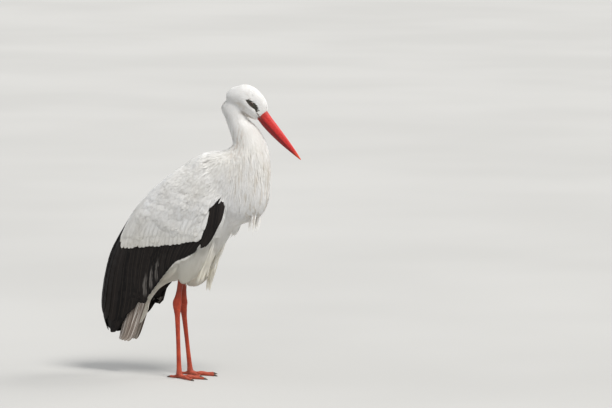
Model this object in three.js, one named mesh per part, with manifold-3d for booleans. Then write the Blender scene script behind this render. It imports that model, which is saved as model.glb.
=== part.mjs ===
// White stork (Ciconia ciconia), life size, standing at rest with the neck drawn in.
// Millimetres. +X is the way the bird faces, +Y its left side, +Z up, and the soles are at Z = 0.
// The origin is the middle of the model's bounding box, on the ground.
import * as THREE from "three";
import { mergeVertices } from "three/addons/utils/BufferGeometryUtils.js";
import Module from "manifold-3d";

const wasm = await Module();
wasm.setup();

// ---------------------------------------------------------------- driving dimensions
const GAP = 0.35; // clearance between pieces that meet
const BEYOND = 2000; // longer than the bird, for tools that cut right through it
const SIDES = { right: -1, left: 1 };

// Bill and head, in the head's own frame: x along the bill, z up, origin at the bill's root.
const BILL_LENGTH = 168;
const BILL_PITCH = 47; // degrees below level
const HEAD_TURN = 8; // degrees towards the bird's left
const BILL_ROOT = new THREE.Vector3(251, 8, 768);
const EYE_AT = { x: -44, z: 4 };
const EYE_RADIUS = 8;
const EYE_SHOWS = 2.6; // how far the eyeball stands out of the head

// Legs
const TOE_LENGTHS = { inner: 60, middle: 80, outer: 68, hind: 30 };
const TOE_ANGLES = { inner: 34, middle: 2, outer: -30, hind: 178 }; // degrees, from straight ahead
const CLAW_LENGTH = 11;
const LEGS = {
  right: { ankle: [-5, -33, 219], foot: [4, -40], knee: [24, -42, 350] },
  left: { ankle: [-20, 33, 210], foot: [-2, 41], knee: [-20, 44, 350] },
};

// Wings and tail
const WING_THICKNESS = 12;
const TAIL_FEATHERS = 8;
const VANE_THICKNESS = 3;

// A body station is one slice across the bird: its back edge and front edge in the
// plane of symmetry, its half width, and how far down the slice it is widest (0 to 1).
const slice = (back, front, half, widest = 0.5) => ({ back, front, half, widest });

const NECK_AND_TRUNK = [
  slice([150, 818], [196, 810], 18), // inside the head
  slice([130, 800], [200, 790], 25),
  slice([125, 783], [204, 772], 27), // nape
  slice([138, 757], [210, 755], 28), // narrowest part of the neck
  slice([148, 733], [231, 737], 33),
  slice([158, 708], [250, 711], 39),
  slice([163, 683], [263, 685], 46), // foot of the neck
  slice([136, 665], [271, 652], 56),
  slice([88, 658], [275, 610], 67, 0.46), // shoulders
  slice([44, 636], [272, 563], 76, 0.45),
  slice([6, 609], [267, 518], 79, 0.44), // fullest part of the breast
  slice([-28, 580], [239, 474], 80, 0.45),
  slice([-60, 550], [166, 444], 79, 0.46), // behind the breast plumes
  slice([-88, 518], [133, 398], 75, 0.48),
  slice([-112, 484], [92, 350], 68, 0.5), // belly
  slice([-132, 448], [42, 302], 58, 0.5),
  slice([-146, 408], [-4, 284], 46, 0.5), // vent
  slice([-157, 368], [-54, 270], 36, 0.5),
  slice([-165, 330], [-92, 242], 28, 0.5), // root of the tail
  slice([-172, 300], [-104, 214], 24, 0.5),
];
const NECK_ENDS_AT = 6.5; // in stations, where neck and trunk meet
const TRUNK_ENDS_AT = 17.6; // in stations, where trunk and tail meet

// Soft feathers under the tail, and the curved fan of stiff ones that closes round them.
const TAIL_COVERTS = [
  slice([-159, 350], [-86, 248], 25),
  slice([-174, 296], [-112, 214], 25),
  slice([-184, 240], [-121, 180], 23),
  slice([-190, 190], [-142, 148], 18),
  slice([-190, 160], [-164, 142], 10),
];
const TAIL_ROOT = [-124, 268];
const TAIL_TIP = [-182, 99];
const TAIL_ROOT_RADII = [20, 40]; // half width of the fan, and half its depth
const TAIL_TIP_RADII = [28, 27];
const TAIL_CURL = 112; // degrees that the fan curls round on each side of its crown
const TAIL_FEATHER_WIDTH = 32;

const HEAD = [
  // slices across the head, given as x, top, bottom and half width in the head's frame
  [3, 17.5, -17, 13],
  [-7, 27, -25, 16.5],
  [-20, 34.5, -32, 20.5],
  [-37, 39, -36, 24],
  [-55, 39.5, -40, 27],
  [-73, 37, -45, 28.5],
  [-90, 30, -49, 27.5],
  [-104, 18, -50, 23.5],
  [-113, 1, -46, 16],
];

// The bill's side view: distance along it, culmen, line of the gape, underside, half width.
const BILL = [
  [-10, 19, -7, -17, 13.5],
  [0, 18.3, -7, -18, 13],
  [25, 15.6, -6.6, -19.8, 11.5],
  [50, 13.9, -6, -19, 10],
  [75, 12, -5.2, -17, 8.2],
  [100, 9.9, -4.2, -14, 6.4],
  [125, 7.2, -3.2, -9.8, 4.6],
  [145, 4.6, -2.2, -6.2, 3.2],
  [160, 2, -1.2, -3.2, 2],
  [BILL_LENGTH, 0.6, -0.4, -1.4, 1],
];

// The folded wings wrap the trunk like a cloak: each slice runs from the ridge of the back
// to the lower edge, and `edge` is how far out that lower edge stands.
const fold = (back, front, half, edge, widest = 0.45) => ({ back, front, half, edge, widest });
const FOLDED_WINGS = [
  fold([128, 640], [172, 560], 56, 50),
  fold([92, 658], [168, 515], 78, 72),
  fold([46, 643], [150, 450], 90, 84),
  fold([2, 617], [112, 394], 95, 86),
  fold([-48, 582], [57, 372], 96, 84),
  fold([-96, 545], [6, 349], 92, 78),
  fold([-139, 500], [-36, 310], 85, 69),
  fold([-178, 446], [-66, 276], 75, 59),
  fold([-211, 396], [-91, 246], 65, 51),
  fold([-235, 351], [-112, 222], 56, 45),
  fold([-250, 296], [-136, 226], 48, 40),
  fold([-260, 240], [-160, 198], 41, 35),
  fold([-263, 192], [-188, 160], 34, 29),
  fold([-256, 151], [-210, 132], 27, 23),
  fold([-243, 125], [-232, 119], 19, 17),
];

// Breast plumes hang free in a fringe: where each leaves the breast, its tip and its half width.
const PLUMES = [
  { root: [252, 0, 536], tip: [233, 0, 441], half: 14 },
  { root: [246, -24, 532], tip: [222, -24, 446], half: 14 },
  { root: [246, 24, 532], tip: [220, 25, 444], half: 14 },
  { root: [224, -44, 524], tip: [202, -42, 448], half: 13 },
  { root: [224, 44, 524], tip: [205, 43, 446], half: 13 },
  { root: [194, -58, 514], tip: [180, -54, 446], half: 13 },
  { root: [194, 58, 514], tip: [180, 54, 448], half: 13 },
];

// ---------------------------------------------------------------- geometry helpers
const radians = THREE.MathUtils.degToRad;

// A closed mesh through rings that all have the same number of points.
function loft(rings) {
  const around = rings[0].length;
  const points = rings.flat();
  const faces = [];
  for (let r = 0; r + 1 < rings.length; r++)
    for (let k = 0; k < around; k++) {
      const a = r * around + k;
      const b = r * around + ((k + 1) % around);
      faces.push(a, b, a + around, b, b + around, a + around);
    }
  for (const [ring, flip] of [[0, true], [rings.length - 1, false]]) {
    const middle = new THREE.Vector3();
    rings[ring].forEach((p) => middle.addScaledVector(p, 1 / around));
    points.push(middle);
    for (let k = 0; k < around; k++) {
      const a = ring * around + k;
      const b = ring * around + ((k + 1) % around);
      faces.push(...(flip ? [b, a, points.length - 1] : [a, b, points.length - 1]));
    }
  }
  const made = new THREE.BufferGeometry().setFromPoints(points);
  made.setIndex(faces);
  return made;
}

// A three.js geometry as a manifold-3d solid, turned outwards if it came inside out.
function solid(geometry) {
  const bare = geometry.clone();
  bare.deleteAttribute("normal");
  bare.deleteAttribute("uv");
  const merged = mergeVertices(bare, 1e-4);
  const triVerts = new Uint32Array(merged.index.array);
  const vertProperties = new Float32Array(merged.attributes.position.array);
  const made = new wasm.Manifold(new wasm.Mesh({ numProp: 3, vertProperties, triVerts }));
  if (made.volume() > 0) return made;
  for (let i = 0; i < triVerts.length; i += 3)
    [triVerts[i + 1], triVerts[i + 2]] = [triVerts[i + 2], triVerts[i + 1]];
  return new wasm.Manifold(new wasm.Mesh({ numProp: 3, vertProperties, triVerts }));
}

const onLine = (a, b, t) => a.map((v, i) => v + (b[i] - v) * t);

const union = (solids) => solids.reduce((a, b) => a.add(b));

// The largest single body of a solid: slivers left by a cut are dropped.
const largest = (made) => made.decompose().sort((a, b) => b.volume() - a.volume())[0];

function geometryOf(made) {
  const mesh = made.getMesh();
  const geometry = new THREE.BufferGeometry();
  geometry.setAttribute("position", new THREE.BufferAttribute(mesh.vertProperties, 3));
  geometry.setIndex(new THREE.BufferAttribute(mesh.triVerts, 1));
  const faceted = geometry.toNonIndexed();
  faceted.computeVertexNormals();
  return faceted;
}

// Values of a list of stations at a place counted in stations, with smooth curves between them.
function smoothStations(stations) {
  const curve = (pick) =>
    new THREE.CatmullRomCurve3(stations.map((s) => new THREE.Vector3(...pick(s))), false, "catmullrom", 0.5);
  const back = curve((s) => [s.back[0], 0, s.back[1]]);
  const front = curve((s) => [s.front[0], 0, s.front[1]]);
  const sizes = curve((s) => [s.half, s.widest, s.edge ?? 0]);
  const last = stations.length - 1;
  return (place) => {
    const u = THREE.MathUtils.clamp(place / last, 0, 1);
    const size = sizes.getPoint(u);
    return { back: back.getPoint(u), front: front.getPoint(u), half: size.x, widest: size.y, edge: size.z };
  };
}

// One oval ring of a body station, grown outwards by `grow`.
function bodyRing(station, around, grow = 0) {
  const { back, front, half, widest } = station;
  const down = front.clone().sub(back);
  const length = down.length();
  const reach = (length + 2 * grow) / length;
  const lean = Math.log(widest) / Math.log(0.5);
  return Array.from({ length: around }, (_, k) => {
    const angle = (2 * Math.PI * k) / around;
    const along = (((1 - Math.cos(angle)) / 2) ** lean - 0.5) * reach + 0.5;
    const point = back.clone().addScaledVector(down, along);
    point.y = (half + grow) * Math.sin(angle);
    return point;
  });
}

function bodyLoft(stations, { from = 0, to = stations.length - 1, step = 0.5, around = 22, grow = 0 } = {}) {
  const at = smoothStations(stations);
  const rings = [];
  const count = Math.max(1, Math.round((to - from) / step));
  for (let i = 0; i <= count; i++) rings.push(bodyRing(at(from + ((to - from) * i) / count), around, grow));
  return solid(loft(rings));
}

// A round limb along a smooth path; each joint is { at: [x, y, z], r: radius, flat: sideways share }.
function limb(joints, { around = 10, steps = 3, grow = 0 } = {}) {
  const centres = joints.map((j) => new THREE.Vector3(...j.at));
  const path = new THREE.CatmullRomCurve3(centres, false, "centripetal");
  const sizes = new THREE.CatmullRomCurve3(
    joints.map((j) => new THREE.Vector3(j.r, j.r * (j.flat ?? 1), 0)), false, "catmullrom", 0.5);
  const count = (joints.length - 1) * steps;
  const rings = [];
  for (let i = 0; i <= count; i++) {
    const u = i / count;
    const middle = path.getPoint(u);
    const along = path.getTangent(u);
    const side = new THREE.Vector3(0, 1, 0).addScaledVector(along, -along.y).normalize();
    const up = along.clone().cross(side).normalize();
    const size = sizes.getPoint(u);
    rings.push(Array.from({ length: around }, (_, k) => {
      const angle = (2 * Math.PI * k) / around;
      return middle.clone()
        .addScaledVector(up, (size.x + grow) * Math.cos(angle))
        .addScaledVector(side, (size.y + grow) * Math.sin(angle));
    }));
  }
  return solid(loft(rings));
}

// ---------------------------------------------------------------- head
const headTurn = new THREE.Matrix4()
  .makeTranslation(BILL_ROOT)
  .multiply(new THREE.Matrix4().makeRotationFromEuler(
    new THREE.Euler(0, radians(BILL_PITCH), radians(HEAD_TURN), "ZYX")));

const inHead = (geometry) => solid(geometry.applyMatrix4(headTurn));

function headSolid(grow = 0) {
  const around = 14;
  const stations = HEAD.map(([x, top, bottom, half]) => slice([x, top], [x, bottom], half, 0.52));
  const at = smoothStations(stations);
  const rings = [];
  const count = 10;
  for (let i = 0; i <= count; i++) {
    const place = ((stations.length - 1) * i) / count;
    rings.push(bodyRing(at(place), around, grow));
  }
  const rear = at(stations.length - 1);
  for (const [back, shrink] of [[5, 0.72], [8, 0.36]]) {
    const middle = rear.back.clone().add(rear.front).multiplyScalar(0.5);
    const ring = bodyRing(rear, around, grow);
    rings.push(ring.map((p) => {
      const q = p.clone().sub(middle).multiplyScalar(shrink).add(middle);
      q.x -= back + grow;
      return q;
    }));
  }
  return inHead(loft(rings));
}

// Half of the bill: the upper half has a ridged top and the lower half a keeled underside.
function billHalf(upper) {
  const around = 9;
  return inHead(loft(BILL.map(([x, culmen, gape, underside, half]) => {
    const depth = upper ? culmen - gape : underside - gape;
    return Array.from({ length: around }, (_, k) => {
      const angle = (Math.PI * k) / (around - 1);
      const z = gape + Math.sign(depth) * GAP / 2 + depth * Math.sin(angle) ** 0.85;
      return new THREE.Vector3(x, half * Math.cos(angle), z);
    });
  })));
}

function eyeSolid(side, grow = 0) {
  const surface = 23.6;
  const ball = new THREE.SphereGeometry(EYE_RADIUS + grow, 12, 6);
  ball.translate(EYE_AT.x, side * (surface - EYE_RADIUS + EYE_SHOWS), EYE_AT.z);
  return inHead(ball);
}

// ---------------------------------------------------------------- wings
const wingStation = smoothStations(FOLDED_WINGS);

// Half width of the folded wings at a station, `share` of the way from the ridge to the edge.
function wingReach(station, share) {
  const { half, edge, widest } = station;
  if (share < widest) return half * Math.sqrt(Math.max(0, 1 - (1 - share / widest) ** 2));
  return half - (half - edge) * ((share - widest) / (1 - widest)) ** 2;
}

// The cloak of both wings: slices from the ridge down one side and up the other.
function cloak({ inward = 0, below = 0, count = 16, perSide = 8 } = {}) {
  const rings = [];
  const last = FOLDED_WINGS.length - 1;
  for (let i = 0; i <= count; i++) {
    const station = wingStation((last * i) / count);
    const down = station.front.clone().sub(station.back);
    const length = down.length();
    const ridge = station.back.clone().addScaledVector(down, Math.min(0.6, inward / length));
    const foot = station.front.clone().addScaledVector(down, below / length);
    const ring = [];
    for (let k = 0; k < 2 * perSide; k++) {
      const side = k < perSide ? -1 : 1;
      const j = k < perSide ? k : 2 * perSide - 1 - k;
      const share = (j / (perSide - 1)) ** 1.5;
      const point = ridge.clone().lerp(foot, share);
      const reach = wingReach(station, Math.min(share, 1)) - inward;
      point.y = side * Math.max(j === 0 ? 0.6 : 1.2, reach);
      ring.push(point);
    }
    rings.push(ring);
  }
  return solid(loft(rings));
}

// A feather's vane: a thin blade along a path of points, with `outward` the way its face looks.
function vane(path, outward, width, grow = 0) {
  const steps = path.length - 1;
  return solid(loft(path.map((middle, i) => {
    const t = i / steps;
    const along = path[Math.min(i + 1, steps)].clone().sub(path[Math.max(i - 1, 0)]).normalize();
    const face = outward.clone().addScaledVector(along, -outward.dot(along)).normalize();
    const across = along.clone().cross(face).normalize();
    const half = grow + (width / 2) * (t < 0.7 ? 1 : Math.sqrt(Math.max(0.03, 1 - ((t - 0.7) / 0.3) ** 2)));
    const thick = VANE_THICKNESS / 2 + grow;
    return [[1, 0], [0.5, 1], [-0.5, 1], [-1, 0], [-0.5, -1], [0.5, -1]].map(([u, v]) =>
      middle.clone().addScaledVector(across, u * half).addScaledVector(face, v * thick));
  })));
}

// ---------------------------------------------------------------- tail and plumes
// The tail feathers lie side by side on a half tube that is open below and in front.
function tailFan(grow) {
  const root = new THREE.Vector3(TAIL_ROOT[0], 0, TAIL_ROOT[1]);
  const tip = new THREE.Vector3(TAIL_TIP[0], 0, TAIL_TIP[1]);
  const along = tip.clone().sub(root).normalize();
  const crown = new THREE.Vector3(along.z, 0, -along.x);
  const feathers = [];
  for (let i = 0; i < TAIL_FEATHERS; i++) {
    const turn = radians(TAIL_CURL * ((2 * i) / (TAIL_FEATHERS - 1) - 1));
    const outward = crown.clone().multiplyScalar(Math.cos(turn));
    outward.y = Math.sin(turn);
    const at = (middle, [wide, deep], reach = 0) => middle.clone()
      .addScaledVector(crown, deep * Math.cos(turn))
      .addScaledVector(along, reach)
      .add(new THREE.Vector3(0, wide * Math.sin(turn), 0));
    const from = at(root, TAIL_ROOT_RADII);
    const to = at(tip, TAIL_TIP_RADII, 6 * Math.cos(turn));
    const path = [0, 0.85, 1].map((t) => from.clone().lerp(to, t));
    feathers.push(vane(path, outward, TAIL_FEATHER_WIDTH, grow));
  }
  return union(feathers);
}

const tailSolid = (grow = 0) => bodyLoft(TAIL_COVERTS, { step: 1, around: 14, grow }).add(tailFan(grow));

function plume({ root, tip, half }) {
  return limb([
    { at: root, r: 6, flat: half / 6 },
    { at: onLine(root, tip, 0.55), r: 6, flat: (half * 0.8) / 6 },
    { at: tip, r: 1.4, flat: 1.8 },
  ], { around: 6, steps: 1 });
}

// A block that stands on an outline in the side view and runs across the whole bird.
function block(points) {
  const shape = new THREE.Shape(points.map(([x, z]) => new THREE.Vector2(x, z)));
  const across = new THREE.ExtrudeGeometry(shape, { depth: BEYOND, bevelEnabled: false });
  across.translate(0, 0, -BEYOND / 2);
  across.rotateX(Math.PI / 2);
  return solid(across);
}

// An edge made of feather tips, each given as [how far along it, how far out] steps.
const ROUND_TIP = [[0.3, 0.8], [0.7, 0.9], [1, -0.2]];
const LONG_TIP = [[0.6, 0.5], [0.92, 1], [1, -0.1]];
function featherTips(tip, from, to, count, depth) {
  const points = [];
  const start = new THREE.Vector2(...from);
  const run = new THREE.Vector2(...to).sub(start);
  const out = new THREE.Vector2(run.y, -run.x).normalize().multiplyScalar(-depth);
  for (let i = 0; i < count; i++)
    for (const [t, push] of tip)
      points.push(start.clone().addScaledVector(run, (i + t) / count).addScaledVector(out, push).toArray());
  return points;
}

const COVERT_EDGE = [
  [180, 720], [172, 600], [165, 536], [140, 512], [118, 478], [107, 440], [102, 418],
  ...featherTips(ROUND_TIP, [102, 418], [-20, 397], 6, 7),
  ...featherTips(ROUND_TIP, [-20, 397], [-165, 374], 7, 7),
  [-190, 372], [-180, 402], [-166, 440], [-152, 466], [-138, 478], [-160, 484], [-190, 520], [-120, 720],
];
const FLIGHT_EDGE = [
  [200, 720], [200, 380], [112, 384], [104, 394], [101, 411], [86, 392], [60, 366],
  ...featherTips(LONG_TIP, [60, 366], [2, 342], 2, 5),
  ...featherTips(LONG_TIP, [2, 342], [-66, 268], 4, 6),
  ...featherTips(LONG_TIP, [-66, 268], [-116, 212], 4, 6),
  [-132, 222],
  ...featherTips(LONG_TIP, [-132, 222], [-185, 158], 3, 7),
  ...featherTips(LONG_TIP, [-185, 158], [-232, 116], 3, 8),
  [-300, 100], [-300, 720],
];
// The wing's front edge, which the breast feathers cover; the left one is tucked in deeper.
const FRONT_EDGE = [
  [220, 720], [190, 640], [174, 560], [169, 536], [171, 522], [169, 500], [161, 470], [148, 436],
  [132, 408], [114, 388], [80, 340], [-60, 60], [-400, 60], [-400, 720],
];
const FRONT_TUCK = { right: 0, left: 20 };
const WRIST_FEATHERS = [
  [165, 536], [168, 522], [166, 500], [158, 470], [146, 436], [130, 408], [113, 390],
  [107, 394], [103, 412], [105, 440], [117, 478], [139, 512],
];

// ---------------------------------------------------------------- legs
// The thigh's feathers end in a soft point; the left one hangs lower and has a loose front plume.
const THIGHS = {
  right: [[48, 420, 60], [46, 376, 55], [38, 338, 44], [28, 310, 32], [18, 288, 18], [13, 277, 7]],
  left: [[46, 420, 60], [41, 374, 53], [33, 334, 44], [22, 302, 36], [9, 278, 22], [8, 261, 8]],
};
const THIGH_PLUME = { root: [72, 42, 350], tip: [57, 44, 250], half: 9 };

function thighSolid(side, grow = 0) {
  const across = LEGS[side].knee[1];
  return limb(
    THIGHS[side].map(([x, z, r]) => ({ at: [x, across, z], r, flat: 0.6 })),
    { around: 12, steps: 1, grow });
}

function shankSolid(side, grow = 0) {
  const { ankle, knee } = LEGS[side];
  return limb([
    { at: onLine(ankle, knee, 0.86), r: 10.5 },
    { at: onLine(ankle, knee, 0.5), r: 9 },
    { at: onLine(ankle, knee, 0.28), r: 8.2 },
    { at: onLine(ankle, knee, 0.13), r: 10, flat: 0.9 },
    { at: [ankle[0], ankle[1], ankle[2] + 3], r: 13, flat: 0.84 },
    { at: [ankle[0] - 1, ankle[1], ankle[2] - 7], r: 12.5, flat: 0.86 },
  ], { around: 8, steps: 2, grow });
}

function tarsusSolid(side) {
  const { ankle, foot } = LEGS[side];
  const sole = [foot[0], foot[1], 12];
  const top = [ankle[0] - 1, ankle[1], ankle[2] - 5];
  return limb([
    { at: top, r: 12.4, flat: 0.86 },
    { at: onLine(top, sole, 0.07), r: 10.6, flat: 0.88 },
    { at: onLine(top, sole, 0.2), r: 7.8, flat: 0.88 },
    { at: onLine(top, sole, 0.55), r: 6.4, flat: 0.9 },
    { at: onLine(top, sole, 0.88), r: 7.2, flat: 0.96 },
    { at: onLine(top, sole, 1.0), r: 9, flat: 1.05 },
  ], { around: 8, steps: 2 });
}

const toeDirection = (side, toe) => {
  const angle = radians(TOE_ANGLES[toe]) * -SIDES[side];
  return new THREE.Vector3(Math.cos(angle), Math.sin(angle), 0);
};

// A toe has swollen joints, a flat sole and a small web at its root.
function toeSolid(side, toe) {
  const [x, y] = LEGS[side].foot;
  const length = TOE_LENGTHS[toe];
  const along = toeDirection(side, toe);
  const joints = toe === "hind" ? 1 : toe === "middle" ? 3 : 2;
  const rings = [{ at: [x, y, 9], r: 7.6 }];
  for (let j = 0; j < joints * 2; j++) {
    const t = (j + 1) / (joints * 2);
    const swell = j % 2 ? 1.12 : 0.9;
    const r = (6.4 - 2.4 * t) * swell;
    rings.push({ at: [x + along.x * length * t, y + along.y * length * t, r * 0.86], r });
  }
  return limb(rings, { around: 6, steps: 1 });
}

function webSolid(side, from, to, reach) {
  const [x, y] = LEGS[side].foot;
  const shape = new THREE.Shape();
  const a = toeDirection(side, from).multiplyScalar(reach);
  const b = toeDirection(side, to).multiplyScalar(reach);
  const middle = a.clone().add(b).multiplyScalar(0.36);
  shape.moveTo(0, 0);
  shape.lineTo(a.x, a.y);
  shape.quadraticCurveTo(middle.x, middle.y, b.x, b.y);
  shape.lineTo(0, 0);
  const web = new THREE.ExtrudeGeometry(shape, { depth: 2.4, bevelEnabled: false, curveSegments: 3 });
  web.translate(x, y, 1.4);
  return solid(web);
}

function clawSolid(side, toe, grow = 0) {
  const [x, y] = LEGS[side].foot;
  const length = TOE_LENGTHS[toe];
  const along = toeDirection(side, toe);
  const at = (t, z) => [x + along.x * (length + t), y + along.y * (length + t), z];
  return limb([
    { at: at(-5, 4.2), r: 2.9, flat: 1.25 },
    { at: at(2, 4.1), r: 2.7, flat: 1.3 },
    { at: at(CLAW_LENGTH * 0.6, 2.9), r: 2, flat: 1.3 },
    { at: at(CLAW_LENGTH, 1.9), r: 0.7, flat: 1.3 },
  ], { around: 6, steps: 1, grow });
}

// ---------------------------------------------------------------- assembly
const FLAT_SOLE = 0.9; // depth cut off under each toe so that it stands on a flat
const ground = solid(new THREE.BoxGeometry(BEYOND, BEYOND, BEYOND).translate(0, 0, -BEYOND / 2 + FLAT_SOLE));
const sideHalf = (side) =>
  solid(new THREE.BoxGeometry(BEYOND, BEYOND, BEYOND).translate(0, side * (BEYOND / 2 + GAP / 2), 0));

const pieces = {};
const headWhole = headSolid();
const headGrown = headSolid(GAP);
const bill = { bill_upper: billHalf(true), bill_lower: billHalf(false) };
const eyes = { eye_left: eyeSolid(1), eye_right: eyeSolid(-1) };
for (const name in bill) pieces[name] = largest(bill[name].subtract(headGrown));
Object.assign(pieces, eyes);
pieces.head = headWhole.subtract(eyeSolid(1, GAP)).subtract(eyeSolid(-1, GAP));

const neck = bodyLoft(NECK_AND_TRUNK, { to: NECK_ENDS_AT, around: 16 });
pieces.neck = largest(neck.subtract(headGrown));
const GAP_IN_STATIONS = 0.02;
const trunkRange = { from: NECK_ENDS_AT + GAP_IN_STATIONS, to: TRUNK_ENDS_AT };
const trunk = bodyLoft(NECK_AND_TRUNK, { ...trunkRange, step: 0.6, around: 16 });
const trunkGrown = bodyLoft(NECK_AND_TRUNK, { ...trunkRange, step: 0.6, around: 16, grow: GAP });
pieces.tail = largest(tailSolid().subtract(trunkGrown));

const thighsGrown = [];
for (const side in SIDES) {
  const whole = side === "left" ? thighSolid(side).add(plume(THIGH_PLUME)) : thighSolid(side);
  const thigh = largest(whole.subtract(trunkGrown));
  const shank = shankSolid(side);
  pieces[`thigh_${side}`] = largest(thigh.subtract(shankSolid(side, GAP)));
  pieces[`shank_${side}`] = shank;
  pieces[`tarsus_${side}`] = largest(tarsusSolid(side).subtract(shankSolid(side, GAP)));
  thighsGrown.push(thighSolid(side, GAP));
}
pieces.trunk = union([trunk, ...PLUMES.map(plume)])
  .subtract(shankSolid("left", GAP))
  .subtract(shankSolid("right", GAP));

for (const side in SIDES) {
  const toes = Object.keys(TOE_LENGTHS);
  const webs = [webSolid(side, "outer", "middle", 21), webSolid(side, "middle", "inner", 12)];
  let foot = union([...toes.map((toe) => toeSolid(side, toe)), ...webs]).subtract(ground);
  const tarsus = pieces[`tarsus_${side}`];
  pieces[`tarsus_${side}`] = largest(tarsus.subtract(foot));
  for (const toe of toes) {
    pieces[`claw_${side}_${toe}`] = clawSolid(side, toe).subtract(ground);
    foot = foot.subtract(clawSolid(side, toe, GAP));
  }
  pieces[`foot_${side}`] = largest(foot);
}

const hollow = cloak({ inward: WING_THICKNESS, below: 30, count: 8, perSide: 5 });
const shell = cloak({ below: 12 }).subtract(hollow);
const flightBlock = block(FLIGHT_EDGE);
const frontBlock = block(FRONT_EDGE);
const coverBlock = block(COVERT_EDGE);
const wristBlock = block(WRIST_FEATHERS);
const inner = union([trunkGrown, tailSolid(GAP), ...thighsGrown]);
for (const side in SIDES) {
  const sign = SIDES[side];
  const front = frontBlock.translate([-FRONT_TUCK[side], 0, 0]);
  const wing = shell.intersect(sideHalf(sign)).intersect(flightBlock).intersect(front).subtract(inner);
  pieces[`wing_coverts_${side}`] = largest(wing.intersect(coverBlock).subtract(wristBlock));
  pieces[`wrist_feathers_${side}`] = largest(wing.intersect(wristBlock));
  pieces[`flight_feathers_${side}`] = largest(wing.subtract(coverBlock).subtract(wristBlock));
}

const COLOURS = {
  white: [0xece8e2, 0.85],
  black: [0x14110f, 0.6],
  bill: [0xd2301c, 0.35],
  leg: [0xb5361c, 0.6],
  claw: [0x3a302a, 0.5],
  eye: [0x0d0a08, 0.1],
};
const wears = {
  head: "white", neck: "white", trunk: "white", tail: "white", thigh: "white", wing: "white",
  flight: "black", wrist: "black", bill: "bill", shank: "leg", tarsus: "leg", foot: "leg",
  claw: "claw", eye: "eye",
};

const model = new THREE.Group();
for (const name in pieces) {
  const [color, roughness] = COLOURS[wears[name.split("_")[0]]];
  const material = new THREE.MeshStandardMaterial({ color, roughness, metalness: 0 });
  const mesh = new THREE.Mesh(geometryOf(pieces[name]), material);
  mesh.name = name;
  model.add(mesh);
}

const box = new THREE.Box3().setFromObject(model);
const middle = box.getCenter(new THREE.Vector3());
model.position.set(-middle.x, -middle.y, -box.min.z);

export default model;
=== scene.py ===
"""A white stork at rest, life size: one skin, its coat of feathers, bill, eyes, legs and claws."""
import itertools
import math

import bpy
import numpy as np
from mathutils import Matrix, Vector
from mathutils.bvhtree import BVHTree


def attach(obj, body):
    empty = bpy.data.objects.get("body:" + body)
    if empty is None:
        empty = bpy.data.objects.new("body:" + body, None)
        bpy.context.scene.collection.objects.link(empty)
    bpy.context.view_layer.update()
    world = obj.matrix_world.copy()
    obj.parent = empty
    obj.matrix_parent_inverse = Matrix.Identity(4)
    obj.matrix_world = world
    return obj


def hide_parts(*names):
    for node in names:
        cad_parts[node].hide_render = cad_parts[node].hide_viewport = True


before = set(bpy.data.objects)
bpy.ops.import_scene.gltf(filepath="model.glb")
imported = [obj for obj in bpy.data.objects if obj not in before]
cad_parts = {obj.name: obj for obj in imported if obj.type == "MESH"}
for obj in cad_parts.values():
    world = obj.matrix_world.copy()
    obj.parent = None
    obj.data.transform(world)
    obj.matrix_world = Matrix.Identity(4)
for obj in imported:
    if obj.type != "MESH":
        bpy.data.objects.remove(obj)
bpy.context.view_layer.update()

chance = np.random.default_rng(11)

# ---------------------------------------------------------------- measures
# The bird is drawn in millimetres: x forwards, y to its left, z up. DRAWN_AT is the
# drawing's point that sits at the frame's origin.
DRAWN_AT = np.array([51.63, 0.0, 0.9])


def metres(points):
    """The frame's metres from the drawing's millimetres."""
    return (np.asarray(points, float) - DRAWN_AT) / 1000


def drawn(points):
    return np.asarray(points, float) * 1000 + DRAWN_AT


SIDES = {"right": -1, "left": 1}
BILL_LENGTH = 168
BILL_PITCH = math.radians(47)
HEAD_TURN = math.radians(8)
BILL_ROOT = np.array([251.0, 8.0, 768.0])
EYE = np.array([-44.0, 18.2, 4.0])  # in the head's own measure: along the bill, sideways, up
EYE_RADIUS = 8.0

# Body stations: back edge x, z; front edge x, z; half width; how far down it is widest.
NECK_AND_TRUNK = [
    [150, 818, 196, 810, 18, 0.5], [130, 800, 200, 790, 25, 0.5], [125, 783, 204, 772, 27, 0.5],
    [138, 757, 210, 755, 28, 0.5], [148, 733, 231, 737, 33, 0.5], [158, 708, 250, 711, 39, 0.5],
    [163, 683, 263, 685, 46, 0.5], [136, 665, 271, 652, 56, 0.5], [88, 658, 275, 610, 67, 0.46],
    [44, 636, 272, 563, 76, 0.45], [6, 609, 267, 518, 79, 0.44], [-28, 580, 239, 474, 80, 0.45],
    [-60, 550, 166, 444, 79, 0.46], [-88, 518, 133, 398, 75, 0.48], [-112, 484, 92, 350, 68, 0.5],
    [-132, 448, 42, 302, 58, 0.5], [-146, 408, -4, 284, 46, 0.5], [-157, 368, -54, 270, 36, 0.5],
    [-165, 330, -92, 242, 28, 0.5], [-172, 300, -104, 214, 24, 0.5],
]
UNDERTAIL = [
    [-159, 350, -86, 248, 25, 0.5], [-174, 296, -112, 214, 25, 0.5], [-184, 240, -121, 180, 23, 0.5],
    [-190, 190, -142, 148, 18, 0.5], [-190, 160, -164, 142, 10, 0.5],
]
HEAD = [
    [3, 17.5, 3, -17, 13, 0.52], [-7, 27, -7, -25, 16.5, 0.52], [-20, 34.5, -20, -32, 20.5, 0.52],
    [-37, 39, -37, -36, 24, 0.52], [-55, 39.5, -55, -40, 27, 0.52], [-73, 37, -73, -45, 28.5, 0.52],
    [-90, 30, -90, -49, 27.5, 0.52], [-104, 18, -104, -50, 23.5, 0.52], [-113, 1, -113, -46, 16, 0.52],
    [-118, -8, -118, -38, 10, 0.52], [-121, -16, -121, -30, 5, 0.52],
]
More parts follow.
